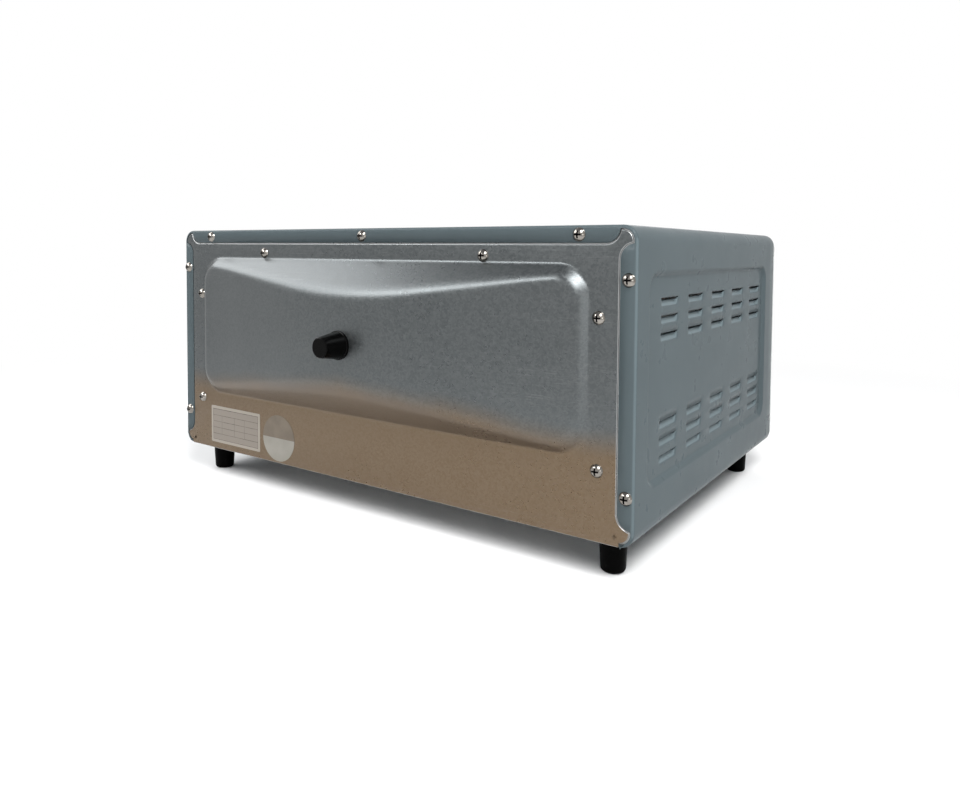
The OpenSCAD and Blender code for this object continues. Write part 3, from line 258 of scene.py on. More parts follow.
def casing_paint(colour):
    """Smooth gloss stove enamel, with painted light on the pressed louvre flaps and a painted highlight along the
    rear bend.
    """
    material, w, shader = new_finish("casing_paint", rough=0.3, Coat_Weight=0.1,
                                     Coat_Roughness=PAINT_COAT_ROUGH, Specular_IOR_Level=PAINT_SPECULAR)
    x, y, z = w.axes()
    from_middle = w.math("ABSOLUTE", x)
    # painted light: the louvre flaps' paint is lighter, standing in for light falling on them from above
    flap = w.remap(from_middle, *FLAP_X, 1.0, 0.0)
    flap = w.math("MULTIPLY", flap, w.math("LESS_THAN", y, FLAP_REAR_Y))
    off_level = w.math("ABSOLUTE", w.math("SUBTRACT", z, FLAP_MID_Z))
    flap = w.math("MULTIPLY", flap, w.math("LESS_THAN", off_level, FLAP_HALF_Z))
    # painted highlight: a paler line along the rear bend, standing in for its reflection
    bend = w.remap(w.math("ADD", from_middle, y), *BEND_REACH, 0.0, BEND_PAINTED_HIGHLIGHT)
    painted_light = w.math("MAXIMUM", w.math("MULTIPLY", flap, FLAP_PAINTED_LIGHT), bend)
    dark, light = ([c * share for c in colour] for share in CASING_DRIFT)
    tone = drifting(w, dark, light, 14)
    w.put(shader["Base Color"], w.mix(painted_light, tone, (*[c * PAINTED_LIGHT_TONE for c in colour], 1)))
    w.put(shader["Roughness"], w.group(MOTTLE, Scale=60.0, Low=CASING_ROUGH[0], High=CASING_ROUGH[1]))
    return material


def plated(name, colour, rough, drift=0.1):
    """Plated steel with faint tarnish and hairlines."""
    material, w, shader = new_finish(name, metal=1.0, rough=rough)
    two_tones(w, shader, [c * (1 - drift) for c in colour], colour, 120)
    hairs = w.group(SCRATCHES, Scale=120.0, Width=0.03, Amount=0.3)
    tarnish = w.group(MOTTLE, Scale=300.0, Low=rough * 0.8, High=rough * 1.25)
    w.put(shader["Roughness"], w.math("ADD", tarnish, hairs))
    relief(w, shader, w.group(GRAIN, Scale=1500.0), 0.12, 0.00003)
    return material


def moulded(name, colour, rough, grain_scale=1200.0, grain=0.3, **more):
    """Moulded plastic, rubber or ceramic with a fine skin."""
    material, w, shader = new_finish(name, rough=rough, **more)
    two_tones(w, shader, [c * 0.85 for c in colour], [min(1, c * 1.12) for c in colour], 90)
    w.put(shader["Roughness"], w.group(MOTTLE, Scale=220.0, Low=rough * 0.85, High=min(1, rough * 1.15)))
    relief(w, shader, w.group(GRAIN, Scale=grain_scale), grain, 0.00006)
    return material


def rolled_sheet(name, colour, rough):
    """Plain rolled sheet with long rolling marks along X."""
    material, w, shader = new_finish(name, metal=0.9, rough=rough)
    long = w.add("ShaderNodeMapping", {"Vector": w.place(), "Scale": (1.0, 30.0, 30.0)}).outputs[0]
    marks = w.noise(long, 30.0, 3.0)
    dull = [c * 0.86 for c in colour]
    w.put(shader["Base Color"], w.mix(w.remap(marks, 0.3, 0.7), (*dull, 1), (*colour, 1)))
    w.put(shader["Roughness"], w.remap(marks, 0.3, 0.7, rough * 0.85, rough * 1.15))
    relief(w, shader, marks, 0.15, 0.00004)
    return material


# the painted warm reflection of a warm-coloured surface below reaches up to REFLECTION_UP_TO at the ends of the
# panel and REFLECTION_RISE higher in the middle, and clouds shift its edge by up to REFLECTION_SHIFT
GALV_COOL, GALV_WARM_REFLECTION = (0.078, 0.086, 0.089), (0.122, 0.086, 0.054)
GALV_COOL_FLECK, GALV_WARM_REFLECTION_FLECK = (0.118, 0.126, 0.128), (0.158, 0.120, 0.083)
REFLECTION_UP_TO, REFLECTION_RISE, REFLECTION_SPAN, REFLECTION_BLEND = 0.081, 0.019, 0.172, 0.011
# bright zinc of the hairline scratches and of the painted highlight on the rolled edge
SCRATCH_AND_HIGHLIGHT_ZINC = (0.36, 0.365, 0.365)
ROLLED_EDGE_Y, ROLLED_EDGE_HIGHLIGHT = (0.15030, 0.15046), 0.9
REFLECTION_SHIFT, GALV_FLECKS, GALV_CLOUDS = 0.006, 0.6, 0.25
GALV_ROUGH, GALV_CLOUD_ROUGH = (0.25, 0.38), 0.04
WAVE_HEIGHT, FLECK_HEIGHT = 9.0, 0.05


def galvanised(name):
    """Hot-dip zinc sheet: fine flecks, a painted warm reflection low down, a painted highlight on the rolled edge,
    gentle waviness.
    """
    material, w, shader = new_finish(name, metal=0.9, rough=0.32)
    flecks = w.group(SPANGLE, Scale=900.0)
    clouds = w.group(MOTTLE, Scale=7.0)
    x, y, z = w.axes()
    near_middle = w.remap(w.math("ABSOLUTE", x), 0.0, REFLECTION_SPAN, REFLECTION_RISE, 0.0, smooth=False)
    level = w.math("SUBTRACT", w.math("ADD", z, w.math("MULTIPLY", clouds, REFLECTION_SHIFT)), near_middle)
    # painted reflection: warmer, browner zinc low on the panel
    warm_reflection = w.remap(level, REFLECTION_UP_TO - REFLECTION_BLEND, REFLECTION_UP_TO + REFLECTION_BLEND, 1.0, 0.0)
    base = w.mix(warm_reflection, (*GALV_COOL, 1), (*GALV_WARM_REFLECTION, 1))
    light = w.mix(warm_reflection, (*GALV_COOL_FLECK, 1), (*GALV_WARM_REFLECTION_FLECK, 1))
    drift = w.math("ADD", w.math("MULTIPLY", flecks, GALV_FLECKS), w.math("MULTIPLY", clouds, GALV_CLOUDS))
    hairs = w.group(SCRATCHES, Scale=420.0, Width=0.012, Amount=0.1)
    # the hairlines are real scratches; the rolled edge's brightness is a painted highlight
    bright = w.math("MAXIMUM", hairs, w.remap(y, *ROLLED_EDGE_Y, ROLLED_EDGE_HIGHLIGHT, 0.0))
    w.put(shader["Base Color"], w.mix(bright, w.mix(drift, base, light), (*SCRATCH_AND_HIGHLIGHT_ZINC, 1)))
    rough = w.remap(flecks, 0, 1, *GALV_ROUGH, smooth=False)
    w.put(shader["Roughness"], w.math("ADD", rough, w.math("MULTIPLY", clouds, GALV_CLOUD_ROUGH)))
    waves = w.math("MULTIPLY", w.noise(w.place(), 6.0, 1.0), WAVE_HEIGHT)
    relief(w, shader, w.math("ADD", waves, w.math("MULTIPLY", flecks, FLECK_HEIGHT)), 0.5, 0.0001)
    return material


PAPER, PAPER_EDGE, PAPER_INK = (0.170, 0.146, 0.120), (0.24, 0.214, 0.178), (0.045, 0.036, 0.028)
RULE_IN, RULE_W = 0.0024, 0.0002
# rows and columns as shares of the label's size
FIRST_ROW, ROW_STEP = 0.08, 0.168
COLUMNS, COLUMN_HALF, COLUMN_THIN = (0.225, 0.485, 0.69), 0.252, 0.8


def ruled_paper(name, centre, size):
    """Bare rating label: beige film with a double border and ruled rows, no words."""
    material, w, shader = new_finish(name, rough=0.5, Coat_Weight=0.15)
    x, _, z = w.axes()
    from_x = w.math("ABSOLUTE", w.math("SUBTRACT", x, centre[0]))
    from_z = w.math("ABSOLUTE", w.math("SUBTRACT", z, centre[1]))
    in_x, in_z = w.math("SUBTRACT", size[0] / 2, from_x), w.math("SUBTRACT", size[1] / 2, from_z)
    depth = w.math("MINIMUM", in_x, in_z)
    across = w.math("DIVIDE", w.math("SUBTRACT", centre[0] + size[0] / 2, x), size[0])
    down = w.math("DIVIDE", w.math("SUBTRACT", centre[1] + size[1] / 2, z), size[1])
    inside = w.math("GREATER_THAN", depth, RULE_IN)
    ink = w.math("LESS_THAN", w.math("ABSOLUTE", w.math("SUBTRACT", depth, RULE_IN)), RULE_W)
    row = w.math("MODULO", w.math("SUBTRACT", down, FIRST_ROW), ROW_STEP)
    ruled = w.math("LESS_THAN", row, 2 * RULE_W / size[1])
    ink = w.math("MAXIMUM", ink, w.math("MULTIPLY", inside, ruled))
    middle = w.math("LESS_THAN", w.math("ABSOLUTE", w.math("SUBTRACT", down, 0.5)), COLUMN_HALF)
    for column in COLUMNS:
        off_line = w.math("ABSOLUTE", w.math("SUBTRACT", across, column))
        line = w.math("LESS_THAN", off_line, RULE_W * COLUMN_THIN / size[0])
        ink = w.math("MAXIMUM", ink, w.math("MULTIPLY", line, middle))
    worn = w.math("MULTIPLY", ink, w.group(MOTTLE, Scale=160.0, Low=0.6, High=1.0))
    paper = w.mix(inside, (*PAPER_EDGE, 1), (*PAPER, 1))
    w.put(shader["Base Color"], w.mix(worn, paper, (*PAPER_INK, 1)))
    relief(w, shader, w.group(GRAIN, Scale=1400.0), 0.2, 0.00004)
    return material


SILVER_FILM = (0.120, 0.097, 0.073), (0.146, 0.12, 0.091)
WHITE_FILM = (0.195, 0.184, 0.156), (0.222, 0.21, 0.181)
SILVER_METAL = 0.45


def two_tone_paper(name, split_z):
    """Bare round label: brushed silver film above, off-white below."""
    material, w, shader = new_finish(name, rough=0.42)
    lower = w.math("LESS_THAN", w.axes()[2], split_z)
    silver, white = drifting(w, *SILVER_FILM, 70.0), drifting(w, *WHITE_FILM, 70.0)
    w.put(shader["Base Color"], w.mix(lower, silver, white))
    w.put(shader["Metallic"], w.remap(lower, 0, 1, SILVER_METAL, 0.0, smooth=False))
    relief(w, shader, w.group(GRAIN, Scale=1400.0), 0.2, 0.00004)
    return material


def hot_wire(name):
    """Oxidised resistance wire."""
    material, w, shader = new_finish(name, metal=0.8, rough=0.5)
    two_tones(w, shader, (0.10, 0.085, 0.075), (0.20, 0.17, 0.15), 300)
    return material


def tinted_glass():
    material, w, shader = new_finish("tinted_glass", rough=0.03, Transmission_Weight=1.0, IOR=1.5)
    shader["Base Color"].default_value = (0.32, 0.34, 0.36, 1)
    smears = w.group(MOTTLE, Scale=11.0, Low=0.02, High=0.07)
    w.put(shader["Roughness"], smears)
    return material


def quartz():
    material, w, shader = new_finish("quartz", rough=0.2, Transmission_Weight=0.65, IOR=1.45)
    two_tones(w, shader, (0.82, 0.78, 0.72), (0.93, 0.91, 0.88), 60)
    w.put(shader["Roughness"], w.group(MOTTLE, Scale=200.0, Low=0.16, High=0.34))
    return material


FINISHES = {
    "casing_paint": casing_paint((0.070, 0.089, 0.096)),
    "galvanised": galvanised("galvanised"),
    "fascia_paint": painted("fascia_paint", (0.60, 0.62, 0.61), 0.42, coat=0.15),
    "liner_sheet": rolled_sheet("liner_sheet", (0.52, 0.52, 0.51), 0.38),
    "strip": painted("strip", (0.035, 0.038, 0.042), 0.45, grain=0.4),
    "door_paint": painted("door_paint", (0.022, 0.024, 0.027), 0.38, coat=0.2, grain=0.4),
    "glass": tinted_glass(),
    "quartz": quartz(),
    "ceramic": moulded("ceramic", (0.78, 0.74, 0.66), 0.6),
    "brass": plated("brass", (0.72, 0.52, 0.24), 0.3),
    "bright_wire": plated("bright_wire", (0.70, 0.70, 0.69), 0.16),
    "enamel": moulded("enamel", (0.012, 0.013, 0.016), 0.22, 500.0, 0.2, Coat_Weight=0.5),
    "nickel": plated("nickel", (0.27, 0.252, 0.228), 0.12, 0.3),
    "black_gloss": moulded("black_gloss", (0.001, 0.001, 0.001), 0.16, 900.0, 0.1, Specular_IOR_Level=0.06),
    "black_matte": moulded("black_matte", (0.001, 0.001, 0.001), 0.4, 900.0, 0.2, Specular_IOR_Level=0.02),
    "black_rubber": moulded("black_rubber", (0.016, 0.016, 0.016), 0.7, 900.0, 0.5),
    "lamp_red": moulded("lamp_red", (0.45, 0.02, 0.012), 0.15, Transmission_Weight=0.3),
    "zinc": plated("zinc", (0.56, 0.56, 0.54), 0.32),
    "phenolic": moulded("phenolic", (0.16, 0.075, 0.035), 0.45),
    "copper": plated("copper", (0.62, 0.30, 0.18), 0.3),
    "bakelite": moulded("bakelite", (0.018, 0.017, 0.017), 0.34),
}


def dress_cad_nodes():
    """Gives every CAD node the finish of its material slot."""
    for part in frame["record"]["subparts"]:
        node = frame["nodes"][part["node"]]
        node.data.materials.clear()
        node.data.materials.append(FINISHES[part["material_slot"]])


dress_cad_nodes()


# ---------------------------------------------------------------- making pieces
def new_piece(name, bm, material):
    """Turns a bmesh into an object of the scene."""
    mesh = bpy.data.meshes.new(name)
    bm.to_mesh(mesh)
    bm.free()
    mesh.materials.append(material)
    piece = bpy.data.objects.new(name, mesh)
    bpy.context.scene.collection.objects.link(piece)
    return piece


def finish_piece(name, bm, slot, body="housing", smooth=35):
    """Turns a bmesh into a piece of the object, smooth up to an angle in degrees."""
    piece = new_piece(name, bm, FINISHES[slot])
    piece.data.shade_smooth()
    piece.data.set_sharp_from_angle(angle=math.radians(smooth))
    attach(piece, body)
    return piece


def thicken(piece, thickness):
    """Gives a sheet its wall, inwards from its face."""
    wall = piece.modifiers.new("wall", "SOLIDIFY")
    wall.thickness, wall.offset, wall.use_even_offset = thickness, -1, True


def smooth_step(t):
    t = min(1.0, max(0.0, t))
    return t * t * (3 - 2 * t)


def inside_distance(x, z, half_x, half_z, r):
    """Distance inside the edge of a rounded rectangle about the origin; negative outside."""
    dx, dz = abs(x) - half_x + r, abs(z) - half_z + r
    return r - math.hypot(max(dx, 0), max(dz, 0)) - min(max(dx, dz), 0)


def spaced(low, high, step):
    """Evenly spaced values from low to high, at most step apart."""
    count = max(1, math.ceil((high - low) / step - 1e-6))
    return [low + (high - low) * i / count for i in range(count + 1)]


def merged(values, closest=0.3):
    """Sorted values with near repeats left out."""
    kept = []
    for v in sorted(values):
        if not kept or v - kept[-1] > closest:
            kept.append(v)
    return kept


def lattice(bm, columns, rows):
    """A grid whose vertices come back as a table, addressed by column and row."""
    made = bmesh.ops.create_grid(bm, x_segments=columns - 1, y_segments=rows - 1, size=1)["verts"]
    table = [[None] * rows for _ in range(columns)]
    for v in made:
        i = round((v.co.x + 1) / 2 * (columns - 1))
        j = round((v.co.y + 1) / 2 * (rows - 1))
        table[i][j] = v
    return table


# ---------------------------------------------------------------- sizes, in millimetres
def box_mm(node):
    return [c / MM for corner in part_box(node) for c in corner]


SHEET = 0.8
_, FRONT_Y, LOW_Z, SIDE_X, REAR_Y, TOP_Z = box_mm("outer_casing")
CORNER_R = HEM_R = 9.0
BEND_R = 1.8
FLANGE_W = 9.8
FLANGE_X, FLANGE_Z = SIDE_X - FLANGE_W, TOP_Z - FLANGE_W
TONGUE_W, FLANGE_END_R, TIP_GAP, TONGUE_ROUND = 7.6, 8.4, 1.9, 0.9
# degrees between the end of a tongue's rounding and the first point of its tip
TIP_TURN = 2
PANEL_GAP = 0.7


def arc(centre, r, start, end, steps=10):
    """Points along a circle, angles in degrees."""
    angles = [math.radians(start + (end - start) * i / steps) for i in range(steps + 1)]
    return [(centre[0] + r * math.cos(a), centre[1] + r * math.sin(a)) for a in angles]


def meet(p, a, q, b):
    """Point where circles of radius a round p and b round q meet, left of the way from p to q."""
    way = q - p
    along = (a * a - b * b + way.length_squared) / (2 * way.length)
    across = math.sqrt(a * a - along * along)
    way.normalize()
    return p + way * along + Vector((-way.y, way.x)) * across


def heading(v):
    return (math.degrees(math.atan2(v.y, v.x)) + 450) % 360 - 90


def flange_opening(grow):
    """Right half of the opening inside the rear flange, from the top middle down to the foot."""
    end = Vector((FLANGE_END_R - math.sqrt(2) * (FLANGE_END_R + TONGUE_W / 2), FLANGE_END_R))
    mid = Vector((FLANGE_W - CORNER_R, FLANGE_W - CORNER_R))
    tip_r, turn = CORNER_R - TIP_GAP + grow, max(TONGUE_ROUND + grow, TONGUE_ROUND / 4)
    centre = meet(end, FLANGE_END_R - grow + turn, mid, tip_r - turn)
    side = arc(end, FLANGE_END_R - grow, -90, heading(centre - end), 12)
    side += arc(centre, turn, heading(end - centre), heading(centre - mid), 4)[1:]
    tip_start = heading(centre - mid) - TIP_TURN
    tip = arc(mid, tip_r, tip_start, 90 - tip_start, 12)
    corner = side + tip + [(z, x) for x, z in reversed(side)]
    top = [(FLANGE_X + x, FLANGE_Z + z) for x, z in corner]
    foot = [(FLANGE_X + x, LOW_Z + FLANGE_W - z) for x, z in reversed(corner[len(side):])]
    return top + foot


# ---------------------------------------------------------------- rear panel
BULGE_HALF_X, BULGE_HALF_Z, BULGE_R = 172.8, 54.25, 20.8
BULGE_Z = 123.15
BASE_FILLET = 1.2
BULGE_DEPTH, CROWN_R, CROWN_HALF, BULGE_FLARE, END_SLOPE = 22.0, 470.0, 58.0, 48.0, 0.05
SHOULDER_R, SHOULDER_GROWTH = 1.6, 0.22


def plateau(x):
    """Depth of the bulge's plateau across the panel."""
    a, slope, ease = abs(x), CROWN_HALF / CROWN_R, BULGE_HALF_X - BULGE_FLARE
    if a <= CROWN_HALF:
        return BULGE_DEPTH - a * a / (2 * CROWN_R)
    depth = BULGE_DEPTH - slope * CROWN_HALF / 2
    if a <= ease:
        return depth - slope * (a - CROWN_HALF)
    u = min(a, BULGE_HALF_X) - ease
    return depth - slope * (ease - CROWN_HALF) - slope * u + (slope - END_SLOPE) * u * u / (2 * BULGE_FLARE)


def soft_min(a, b, r):
    """The lower of two heights, rounded over where they cross."""
    h = max(r - abs(a - b), 0) / r
    return min(a, b) - h * h * r / 4


def bulge_height(x, z):
    """The pressed bulge: 45 degree walls with a soft base and a rounded shoulder."""
    wall = inside_distance(x, z - BULGE_Z, BULGE_HALF_X, BULGE_HALF_Z, BULGE_R)
    top = plateau(x)
    shoulder = soft_min(wall, top, SHOULDER_R + SHOULDER_GROWTH * top)
    return -soft_min(-shoulder, 0.0, BASE_FILLET) if shoulder > -BASE_FILLET else 0.0


def add_loop(bm, points, y):
    """Adds a closed loop of vertices and edges at a depth."""
    verts = [bm.verts.new((x * MM, y * MM, z * MM)) for x, z in points]
    edges = [bm.edges.new((verts[i - 1], verts[i])) for i in range(len(verts))]
    return verts, edges


PAD_LOW = LOW_Z + 0.2
# rings of the raised edge, from its top outwards: how far out and how deep
PAD_EDGE = ((-0.9, 0.0), (-0.5, -0.07), (-0.22, -0.26), (-0.06, -0.5), (0.0, -SHEET - 0.02),
            (1.6, -SHEET - 0.03))
PANEL_T = 0.6
BULGE_MARGIN, BASE_BAND, WALL_BAND = 2.5, 5, 34
BASE_STEP, WALL_STEP, TOP_STEP = 0.5, 1.3, 4


def pad_outline(grow):
    """Outline of the raised part of the rear panel with its tongues, grown; clockwise from the rear."""
    low = PAD_LOW - min(grow, 0)
    right = flange_opening(grow - PANEL_GAP)
    right.append((right[-1][0], low))
    whole = right + [(-x, z) for x, z in reversed(right)]
    return [(x, max(z, low)) for x, z in whole]


def bulge_lines(edge):
    """Grid lines across the bulge: close together over its base, wall and shoulder."""
    base = spaced(edge - BASE_BAND, edge, BASE_STEP)
    wall = spaced(edge - WALL_BAND, edge - BASE_BAND, WALL_STEP)
    top = spaced(WALL_BAND - edge, edge - WALL_BAND, TOP_STEP)
    return merged([s * v for s in (-1, 1) for v in base + wall] + top)


def press_bulge(bm):
    """The middle of the panel with the bulge; returns its rim."""
    xs, zs = bulge_lines(BULGE_HALF_X + BULGE_MARGIN), bulge_lines(BULGE_HALF_Z + BULGE_MARGIN)
    table = lattice(bm, len(xs), len(zs))
    for x, column in zip(xs, table):
        for z, v in zip(zs, column):
            v.co = Vector((x, REAR_Y + bulge_height(x, z + BULGE_Z), z + BULGE_Z)) * MM
    return [e for e in bm.edges if e.is_boundary]


def raise_edge(bm, rim):
    """The flat round the bulge and its edge, rounded down to the level that lies under the flange."""
    loops = [add_loop(bm, pad_outline(grow), REAR_Y + drop) for grow, drop in PAD_EDGE]
    bmesh.ops.triangle_fill(bm, edges=rim + loops[0][1], use_beauty=True, use_dissolve=False)
    for (outer, _), (inner, _) in zip(loops[1:], loops):
        for i in range(len(outer)):
            bm.faces.new((inner[i - 1], inner[i], outer[i], outer[i - 1]))


def make_rear_sheet():
    bm = bmesh.new()
    raise_edge(bm, press_bulge(bm))
    bmesh.ops.remove_doubles(bm, verts=bm.verts, dist=1e-6)
    bmesh.ops.recalc_face_normals(bm, faces=bm.faces)
    if sum(f.normal.y * f.calc_area() for f in bm.faces) < 0:
        bmesh.ops.reverse_faces(bm, faces=bm.faces)
    piece = finish_piece("rear_sheet", bm, "galvanised")
    thicken(piece, PANEL_T * MM)
    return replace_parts(piece, "rear_panel")


make_rear_sheet()


# ---------------------------------------------------------------- casing
LOUVRE_FROM_REAR, LOUVRE_STEP_Y, LOUVRE_COLUMNS = 55.5, 46.5, 5
LOUVRE_FROM_LOW, LOUVRE_BLOCK_Z, LOUVRE_STEP_Z, LOUVRE_ROWS = 42.3, 72.2, 10.3, 3
LOUVRE_Y = [REAR_Y - LOUVRE_FROM_REAR - LOUVRE_STEP_Y * i for i in range(LOUVRE_COLUMNS)]
LOUVRE_Z = [LOW_Z + LOUVRE_FROM_LOW + LOUVRE_BLOCK_Z * block + LOUVRE_STEP_Z * row
            for block in (0, 1) for row in range(LOUVRE_ROWS)]
LOUVRE_L, LOUVRE_H, LOUVRE_SLIT, LOUVRE_REACH = 29.0, 5.2, 1.4, 2.4
LOUVRE_END, LOUVRE_CURVE, LOUVRE_END_FALL = 4.0, 1.7, 1.6
# grid lines over a louvre: shares of its height, and distances in from its ends
FLAP_SHARES = (0, 0.2, 0.45, 0.7, 0.85, 1.0)
FLAP_ENDS = (0, 0.6, 1.4, 2.3, 3.3, LOUVRE_END, 8.5)
FIELD_FRONT, FIELD_REAR, FIELD_LOW, FIELD_TOP = FRONT_Y + 24.5, REAR_Y - 17.5, LOW_Z + 28, TOP_Z - 25.5
FIELD_R, FIELD_DEPTH, FIELD_SLOPE = 12.0, 2.5, 3.9
RETURN_W = 34.0
TOP_LINES = (SIDE_X - CORNER_R - 1, 150, 75, 0)
# the front edge's rounding: how far behind the front, how far turned in
FRONT_EDGE = ((0, 8.0), (0, 0.6), (0.2, 0.15), (0.7, 0.0))
# the sheet is cut away between the feet of the rear flange
FOOT_CUT_Z, FOOT_CUT_HALF = LOW_Z + 2.2, 191.0
FLANGE_FOOT_Z, FLANGE_FOOT_DROP = LOW_Z + 2.5, 0.8
# grid lines: how close together they may lie, and their steps over the wall and over the field's rim
CLOSEST, CLEAR_OF_LOUVRE, CLEAR_OF_CORNER = 0.1, 0.45, 0.3
WALL_STEP_Y, WALL_STEP_Z = 12, 6
RIM_OUT, RIM_IN, RIM_STEP, RIM_END, RIM_END_STEP = -1, 5, 0.6, FIELD_R + 3, 1.2
# the side wall, its flaps and its field lie further out than this
WALL_X = SIDE_X - 6
# how near a line a vertex lies that is on it, and how level an edge along it is, in metres
NEAR, LEVEL = 0.01, 1e-6


def casing_path():
    """Half cross-section from the return's edge to the top's middle: places and outward normals."""
    low, high = LOW_Z + HEM_R, TOP_Z - CORNER_R
    path = [(SIDE_X - RETURN_W + (RETURN_W - HEM_R) * i / 3, LOW_Z, 0, -1) for i in range(3)]
    for x, z in arc((0, 0), 1, -90, 0, 9):
        path.append((SIDE_X - HEM_R + HEM_R * x, low + HEM_R * z, x, z))
    path += [(SIDE_X, z, 1, 0) for z in side_rows() if low + CLEAR_OF_CORNER < z < high - CLEAR_OF_CORNER]
    for x, z in arc((0, 0), 1, 0, 90, 9):
        path.append((SIDE_X - CORNER_R + CORNER_R * x, high + CORNER_R * z, x, z))
    return path + [(x, TOP_Z, 0, 1) for x in TOP_LINES]


def field_edge_lines(low, high):
    """Lines over the field's rounded rim at both ends of one direction."""
    rim = spaced(RIM_OUT, RIM_IN, RIM_STEP) + spaced(RIM_IN, RIM_END, RIM_END_STEP)
    return [low + v for v in rim] + [high - v for v in rim]


def with_rest(louvre_lines, others):
    """The louvres' own grid lines, and of the others those that don't crowd them."""
    kept = merged(louvre_lines, CLOSEST)
    for line in others:
        if min(abs(line - k) for k in kept) > CLEAR_OF_LOUVRE:
            kept.append(line)
    return sorted(kept)


def side_rows():
    rows = [z - LOUVRE_H * share for z in LOUVRE_Z for share in FLAP_SHARES]
    others = field_edge_lines(FIELD_LOW, FIELD_TOP) + spaced(LOW_Z + HEM_R, TOP_Z - CORNER_R, WALL_STEP_Z)
    return with_rest(rows, others)


def side_columns():
    columns = [y + s * (LOUVRE_L / 2 - end) for y in LOUVRE_Y for s in (-1, 1) for end in FLAP_ENDS]
    others = spaced(FRONT_Y + 1, REAR_Y - BEND_R - 0.5, WALL_STEP_Y)
    return with_rest(columns + LOUVRE_Y, field_edge_lines(FIELD_FRONT, FIELD_REAR) + others)


def casing_stations():
    """Stations along the casing's depth: place along Y and how far the sheet is turned in."""
    stations = [(FRONT_Y + behind, turn) for behind, turn in FRONT_EDGE]
    stations += [(y, 0.0) for y in side_columns() if y > FRONT_Y + 2]
    stations += arc((REAR_Y - BEND_R, BEND_R), BEND_R, -90, 0, 6)
    return stations + [(REAR_Y, BEND_R + 0.04)]


def field_depth(y, z):
    """How deep the side wall's field is pressed at a place."""
    from_y, from_z = y - (FIELD_FRONT + FIELD_REAR) / 2, z - (FIELD_LOW + FIELD_TOP) / 2
    half_y, half_z = (FIELD_REAR - FIELD_FRONT) / 2, (FIELD_TOP - FIELD_LOW) / 2
    inside = inside_distance(from_y, from_z, half_y, half_z, FIELD_R)
    return FIELD_DEPTH * smooth_step(inside / FIELD_SLOPE + 0.1)


def press_louvre(bm, sign, y0, z0):
    """Cuts the sheet along the louvre's top and presses the flap inwards below the cut."""
    half, foot = LOUVRE_L / 2, z0 - LOUVRE_H

    def in_wall(v):
        return v.co.x * sign > WALL_X * MM and abs(v.co.y / MM - y0) < half - NEAR

    def in_flap(v):
        z, middles = v.co.z, [f.calc_center_median().z for f in v.link_faces]
        upper_lip = abs(z / MM - z0) < NEAR and max(middles) > z
        return foot + NEAR < z / MM < z0 + NEAR and min(middles) < z and not upper_lip

    cut = {e for v in bm.verts if in_wall(v) and abs(v.co.z / MM - z0) < NEAR for e in v.link_edges
           if abs(e.other_vert(v).co.z - v.co.z) < LEVEL}
    bmesh.ops.split_edges(bm, edges=list(cut))
    for v in [v for v in bm.verts if in_wall(v) and in_flap(v)]:
        up = min(1, (v.co.z / MM - foot) / LOUVRE_H)
        end = smooth_step((half - abs(v.co.y / MM - y0)) / LOUVRE_END)
        v.co.x -= sign * LOUVRE_REACH * end * (1 - (1 - up) ** LOUVRE_CURVE) * MM
        v.co.z -= LOUVRE_SLIT * up * min(1, LOUVRE_END_FALL * end) * MM


def wrap_sheet(bm):
    """The sheet from return to return with the sides' fields; returns the vertices of its rear end."""
    half = casing_path()
    path = half + [(-x, z, -nx, nz) for x, z, nx, nz in reversed(half[:-1])]
    stations = casing_stations()
    table = lattice(bm, len(path), len(stations))
    for (x, z, nx, nz), column in zip(path, table):
        for (y, turn), v in zip(stations, column):
            deep = field_depth(y, z) if nz == 0 else 0.0
            v.co = Vector((x - nx * (turn + deep), y, z - nz * turn)) * MM
    return {column[-1] for column in table}


def cut_between_feet(bm):
    """Takes the rear bend off the returns, between the feet of the flange."""
    waste = []
    for face in bm.faces:
        middle = face.calc_center_median() / MM
        if middle.z < FOOT_CUT_Z and middle.y > REAR_Y - BEND_R and abs(middle.x) < FOOT_CUT_HALF:
            waste.append(face)
    bmesh.ops.delete(bm, geom=waste, context="FACES")


def fill_flange(bm, last):
    """The rear flange, between the bend's last vertices and the opening."""
    rim = [e for e in bm.edges if e.is_boundary and last.issuperset(e.verts)]
    around = {v for e in rim for v in e.verts}
    left, right = (min((v for v in around if v.co.x * s > 0), key=lambda v: (v.co.z, abs(v.co.x)))
                   for s in (-1, 1))
    opening = [(x, z) for x, z in flange_opening(0) if z > FLANGE_FOOT_Z]
    opening.append((opening[-1][0], opening[-1][1] - FLANGE_FOOT_DROP))
    points = [(-x, z) for x, z in reversed(opening)] + opening
    chain = [left] + [bm.verts.new((x * MM, REAR_Y * MM, z * MM)) for x, z in points] + [right]
    edges = [bm.edges.new(pair) for pair in zip(chain, chain[1:])]
    bmesh.ops.triangle_fill(bm, edges=rim + edges, use_beauty=True, use_dissolve=False)


def make_casing():
    """One wrapped sheet: returns, hems, sides with field and louvres, top, and the rear flange."""
    bm = bmesh.new()
    last = wrap_sheet(bm)
    cut_between_feet(bm)
    for sign in (-1, 1):
        for y in LOUVRE_Y:
            for z in LOUVRE_Z:
                press_louvre(bm, sign, y, z)
    fill_flange(bm, {v for v in last if v.is_valid})
    bmesh.ops.recalc_face_normals(bm, faces=bm.faces)
    top_face = max(bm.faces, key=lambda f: f.calc_center_median().z)
    if top_face.normal.z < 0:
        bmesh.ops.reverse_faces(bm, faces=bm.faces)
    piece = finish_piece("casing_sheet", bm, "casing_paint", smooth=40)
    thicken(piece, SHEET * MM)
    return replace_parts(piece, "outer_casing")


make_casing()


